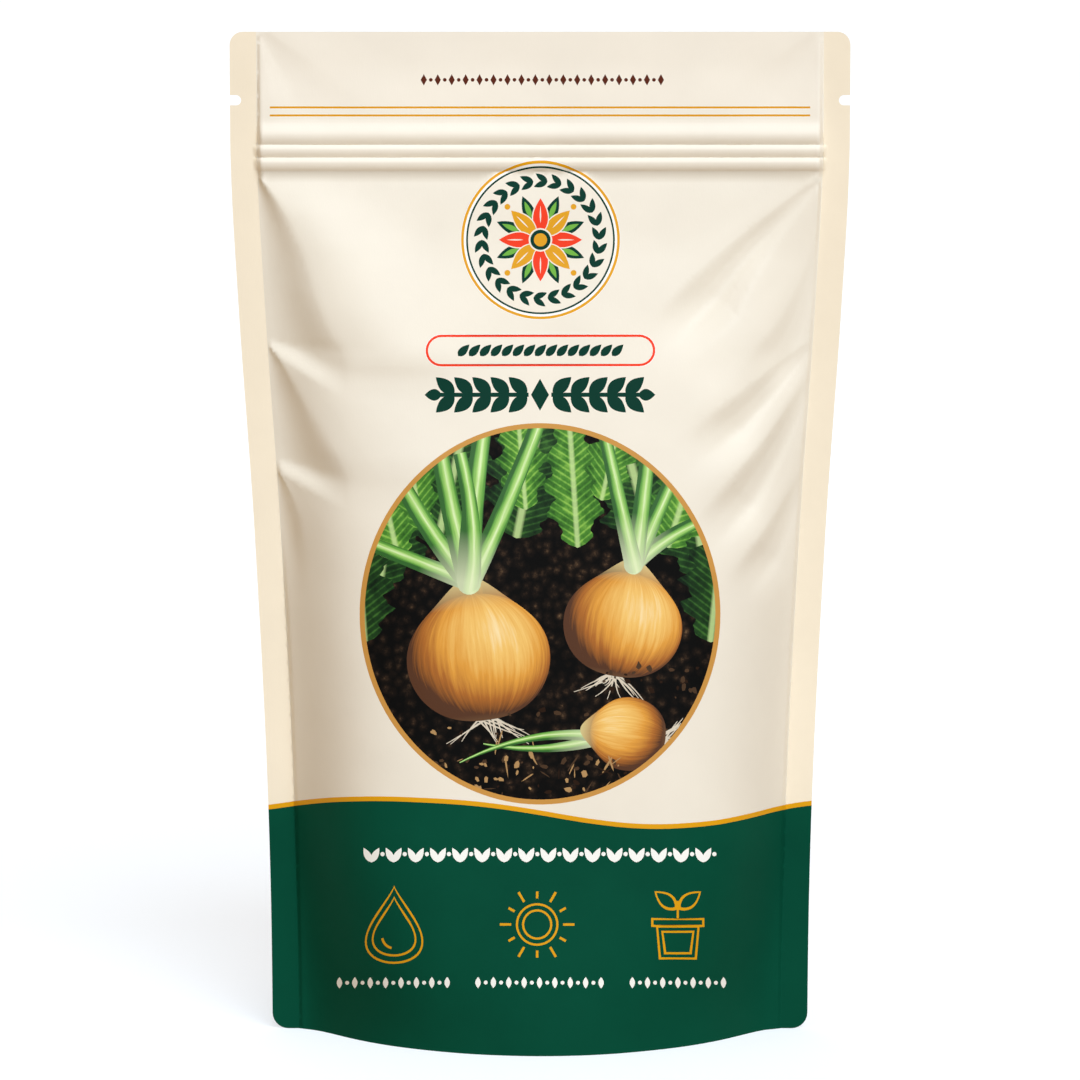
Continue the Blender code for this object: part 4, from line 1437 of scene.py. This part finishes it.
def strip_tree():
    """Draws a profile out along the pouch's width, and flattens both ends as the side seals do."""
    tree, given, result = geometry_tree(
        "draw_zipper_strip",
        (
            ("Half length", "NodeSocketFloat"),
            ("Crushed end", "NodeSocketFloat"),
            ("Face", "NodeSocketFloat"),
            ("Material", "NodeSocketMaterial"),
        ),
    )
    back = add_node(tree, "ShaderNodeMath", {0: given.outputs["Half length"], 1: -1.0}, operation="MULTIPLY")
    start = add_node(tree, "ShaderNodeCombineXYZ", {"X": back})
    end = add_node(tree, "ShaderNodeCombineXYZ", {"X": given.outputs["Half length"]})
    line = add_node(
        tree,
        "GeometryNodeCurvePrimitiveLine",
        {"Start": start.outputs["Vector"], "End": end.outputs["Vector"]},
    )
    steps = add_node(tree, "GeometryNodeResampleCurve", {"Curve": line.outputs["Curve"], "Count": 121})
    drawn = add_node(
        tree,
        "GeometryNodeCurveToMesh",
        {"Curve": steps.outputs["Curve"], "Profile Curve": given.outputs["Geometry"], "Fill Caps": True},
    )
    place = add_node(tree, "GeometryNodeInputPosition")
    parts = add_node(tree, "ShaderNodeSeparateXYZ", {"Vector": place.outputs["Position"]})
    math_kind = "ShaderNodeMath"
    reach = add_node(tree, math_kind, {0: parts.outputs["X"]}, operation="ABSOLUTE")
    from_end = add_node(tree, math_kind, {0: given.outputs["Half length"], 1: reach}, operation="SUBTRACT")
    share = add_node(tree, math_kind, {0: from_end, 1: given.outputs["Crushed end"]}, operation="DIVIDE")
    kept = add_node(
        tree, "ShaderNodeMapRange", {"Value": share, "To Min": 0.45}, interpolation_type="SMOOTHSTEP"
    )
    depth = add_node(tree, math_kind, {0: parts.outputs["Y"], 1: given.outputs["Face"]}, operation="SUBTRACT")
    depth = add_node(tree, math_kind, {0: depth, 1: kept}, operation="MULTIPLY")
    depth = add_node(tree, math_kind, {0: depth, 1: given.outputs["Face"]}, operation="ADD")
    crushed = add_node(
        tree, "ShaderNodeCombineXYZ", {"X": parts.outputs["X"], "Y": depth, "Z": parts.outputs["Z"]}
    )
    formed = add_node(
        tree,
        "GeometryNodeSetPosition",
        {"Geometry": drawn.outputs["Mesh"], "Position": crushed.outputs["Vector"]},
    )
    real = add_node(tree, "GeometryNodeRealizeInstances", {"Geometry": formed.outputs["Geometry"]})
    done = add_node(
        tree,
        "GeometryNodeSetMaterial",
        {"Geometry": real.outputs["Geometry"], "Material": given.outputs["Material"]},
    )
    tree.links.new(done.outputs["Geometry"], result.inputs["Geometry"])
    return tree


def zipper_profiles():
    """The (y, z) outlines of the rib strip and the groove strip, and the face that each is welded by."""
    low, high = TAPE_HEIGHTS
    face = HALF_SEAM_GAP + AIR_GAP + TAPE_STAND_OFF - TAPE_SUNK
    rib_side, groove_side = -(face - TAPE), face - TAPE
    rib = [(-face, high), (-face, low), (rib_side, low)]
    groove = [(face, high), (face, low), (groove_side, low)]
    for track in TRACK_HEIGHTS:
        stem, head = RIB_THICK / 2, RIB_HEAD / 2
        tip, neck = rib_side + RIB_TALL, rib_side + RIB_TALL - RIB_HEAD_TALL
        rib += [(rib_side, track - stem), (neck, track - stem), (neck, track - head), (tip, track - stem / 2)]
        rib += [(tip, track + stem / 2), (neck, track + head), (neck, track + stem), (rib_side, track + stem)]
        end = groove_side - HOOK_TALL
        for hook in (track - HOOK_REACH, track + HOOK_REACH):
            lower, upper = hook - HOOK_THICK / 2, hook + HOOK_THICK / 2
            groove += [(groove_side, lower), (end, lower), (end, upper), (groove_side, upper)]
    rib.append((rib_side, high))
    groove.append((groove_side, high))
    return (rib, -face), (groove, face)


def zipper_strip(name, outline, face, tree, material):
    """A strip from its profile. A line along X turns a profile's X and Y to the pouch's -Y and -Z."""
    curve = bpy.data.curves.new(name, "CURVE")
    curve.dimensions = "3D"
    spline = curve.splines.new("POLY")
    spline.points.add(len(outline) - 1)
    for point, (y, z) in zip(spline.points, outline):
        point.co = (-y * MM, -z * MM, 0, 1)
    spline.use_cyclic_u = True
    strip = grown(
        linked_object(name, curve),
        tree,
        {
            "Half length": (float(seal_edge(TRACK_HEIGHTS[0])) - ZIPPER_END) * MM,
            "Crushed end": CRUSHED_END * MM,
            "Face": face * MM,
            "Material": material,
        },
    )
    mesh = strip.data
    bm = bmesh.new()
    bm.from_mesh(mesh)
    bmesh.ops.recalc_face_normals(bm, faces=bm.faces[:])
    bm.to_mesh(mesh)
    bm.free()
    return strip


def seed_tree():
    """Lays seeds over the top of the heap, close together, each turned and sized a little differently."""
    tree, given, result = geometry_tree(
        "lay_seeds",
        (
            ("Seed radius", "NodeSocketFloat"),
            ("Spacing", "NodeSocketFloat"),
            ("Seed", "NodeSocketInt"),
            ("Material", "NodeSocketMaterial"),
        ),
    )
    normal = add_node(tree, "GeometryNodeInputNormal")
    parts = add_node(tree, "ShaderNodeSeparateXYZ", {"Vector": normal.outputs["Normal"]})
    upward = add_node(tree, "FunctionNodeCompare", {0: parts.outputs["Z"], 1: UPWARD}, operation="GREATER_THAN")
    spread = add_node(
        tree,
        "GeometryNodeDistributePointsOnFaces",
        {
            "Mesh": given.outputs["Geometry"],
            "Selection": upward.outputs["Result"],
            "Distance Min": given.outputs["Spacing"],
            "Density Max": 600000.0,
            "Seed": given.outputs["Seed"],
        },
        distribute_method="POISSON",
    )
    ball = add_node(
        tree,
        "GeometryNodeMeshUVSphere",
        {"Segments": 8, "Rings": 5, "Radius": given.outputs["Seed radius"]},
    )
    turn = add_node(
        tree,
        "FunctionNodeRandomValue",
        {"Min": (0.0, 0.0, 0.0), "Max": (6.28, 6.28, 6.28), "Seed": given.outputs["Seed"]},
        data_type="FLOAT_VECTOR",
    )
    size = add_node(
        tree,
        "FunctionNodeRandomValue",
        {2: 0.85, 3: 1.1, "Seed": given.outputs["Seed"]},
        data_type="FLOAT",
    )
    seeds = add_node(
        tree,
        "GeometryNodeInstanceOnPoints",
        {
            "Points": spread.outputs["Points"],
            "Instance": ball.outputs["Mesh"],
            "Rotation": turn.outputs[0],
            "Scale": size.outputs[1],
        },
    )
    both = add_node(tree, "GeometryNodeJoinGeometry")
    tree.links.new(seeds.outputs["Instances"], both.inputs["Geometry"])
    tree.links.new(given.outputs["Geometry"], both.inputs["Geometry"])
    real = add_node(tree, "GeometryNodeRealizeInstances", {"Geometry": both.outputs["Geometry"]})
    done = add_node(
        tree,
        "GeometryNodeSetMaterial",
        {"Geometry": real.outputs["Geometry"], "Material": given.outputs["Material"]},
    )
    tree.links.new(done.outputs["Geometry"], result.inputs["Geometry"])
    return tree


def seed_heap(node, material):
    """The seeds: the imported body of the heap, with single seeds showing over its top."""
    bm = bmesh.new()
    bm.from_mesh(node.data)
    bmesh.ops.remove_doubles(bm, verts=bm.verts[:], dist=0.001 * MM)
    mesh = bpy.data.meshes.new("seed_heap")
    bm.to_mesh(mesh)
    bm.free()
    heap = grown(
        linked_object("seed_heap", mesh),
        seed_tree(),
        {"Seed radius": SEED_RADIUS * MM, "Spacing": SEED_SPACING * MM, "Seed": SEED, "Material": material},
    )
    heap.data.shade_smooth()
    heap.data.set_sharp_from_angle(angle=math.radians(60))
    return heap


# The studio


def add_floor():
    """A glowing white floor that sweeps up all round. It doesn't throw its light back up under the pouch."""
    flat, sweep, wall = 1.9, 0.7, 3.5
    turns = np.linspace(0, math.pi / 2, 13)
    profile = [(0.0, 0.0), (flat / 2, 0.0)]
    profile += [(flat + sweep * math.sin(t), sweep - sweep * math.cos(t)) for t in turns]
    profile.append((flat + sweep, wall))
    bm = bmesh.new()
    around = 96
    rings = []
    for reach, height in profile[1:]:
        turns = np.arange(around) * 2 * math.pi / around
        spots = [(reach * math.cos(t), reach * math.sin(t)) for t in turns]
        rings.append([bm.verts.new((x, y, height - 0.02 * MM)) for x, y in spots])
    bm.faces.new(rings[0])
    for lower, upper in zip(rings, rings[1:]):
        for k in range(around):
            m = (k + 1) % around
            bm.faces.new((lower[k], upper[k], upper[m], lower[m]))
    mesh = bpy.data.meshes.new("studio_floor")
    bm.to_mesh(mesh)
    bm.free()
    mesh.shade_smooth()
    made, _, shader = new_material("matt_white_studio_floor")
    shader.inputs["Base Color"].default_value = linear("#B8BABA")
    shader.inputs["Roughness"].default_value = 0.9
    shader.inputs["Specular IOR Level"].default_value = 0.1
    shader.inputs["Emission Color"].default_value = linear("#F6F9FF")
    shader.inputs["Emission Strength"].default_value = 0.527
    mesh.materials.append(made)
    floor = linked_object("studio_floor", mesh)
    floor.visible_diffuse = False
    floor.visible_shadow = False


def add_sun(name, hex_colour, strength, spread, azimuth, elevation, shadows=True):
    """A broad soft light from a direction. Azimuth 0 is the camera's side, and 90 is the right."""
    light = bpy.data.lights.new(name, "SUN")
    light.use_shadow = shadows
    light.energy, light.angle = strength, math.radians(spread)
    light.color = linear(hex_colour)[:3]
    lamp = linked_object(name, light)
    turn, rise = math.radians(azimuth), math.radians(elevation)
    towards = Vector((math.sin(turn) * math.cos(rise), -math.cos(turn) * math.cos(rise), math.sin(rise)))
    lamp.rotation_euler = towards.to_track_quat("Z", "Y").to_euler()


def add_studio():
    scene = bpy.context.scene
    scene.view_settings.view_transform = "Standard"
    world = bpy.data.worlds.new("studio")
    scene.world = world
    world.use_nodes = True
    ground = world.node_tree.nodes["Background"]
    ground.inputs["Color"].default_value = linear("#FFDDB0")
    ground.inputs["Strength"].default_value = 0.39
    add_sun("key_light", "#DFEFFF", 3.33, 42, 17, 38)
    add_sun("back_fill", "#DFEFFF", 2.0, 42, 195, 30, shadows=False)
    add_floor()
    lean = math.radians(CAMERA_ELEVATION)
    camera = linked_object("camera", bpy.data.cameras.new("camera"))
    camera.data.lens = LENS
    camera.data.sensor_width = 36.0
    camera.data.clip_start, camera.data.clip_end = 0.05, 60.0
    camera.location = AIM + CAMERA_DISTANCE * Vector((0, -math.cos(lean), math.sin(lean)))
    camera.rotation_euler = (math.pi / 2 - lean, 0, 0)
    scene.camera = camera


def main():
    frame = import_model()
    inks = make_inks()
    inner_ply = film_inside_material()
    cut_edge = plain_ink("laminate_cut_edge", "#E9DFCC", 0.5)
    tree = film_tree()
    plies = (inner_ply, cut_edge)
    front = film_panel("front_film", -1, front_print(), FRONT_FOLDS, inks, FRONT_SPACING, tree, plies)
    back = film_panel("back_film", 1, back_print(), BACK_FOLDS, inks, BACK_SPACING, tree, plies)
    gusset = bottom_gusset(inks["green"])
    zipper = zipper_material()
    (rib, rib_face), (groove, groove_face) = zipper_profiles()
    strips = strip_tree()
    rib_strip = zipper_strip("zipper_rib", rib, rib_face, strips, zipper)
    groove_strip = zipper_strip("zipper_groove", groove, groove_face, strips, zipper)
    heap = seed_heap(frame["nodes"]["seed_fill"], seed_material())

    for piece, node, slot in (
        (front, "front_panel", "printed_film_front"),
        (back, "back_panel", "printed_film_back"),
        (gusset, "bottom_gusset", "printed_film_base"),
        (rib_strip, "zipper_rib_strip", "zipper_polyethylene"),
        (groove_strip, "zipper_groove_strip", "zipper_polyethylene"),
        (heap, "seed_fill", "brown_seeds"),
    ):
        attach(piece, "root")
        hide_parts(node)

    add_studio()


main()
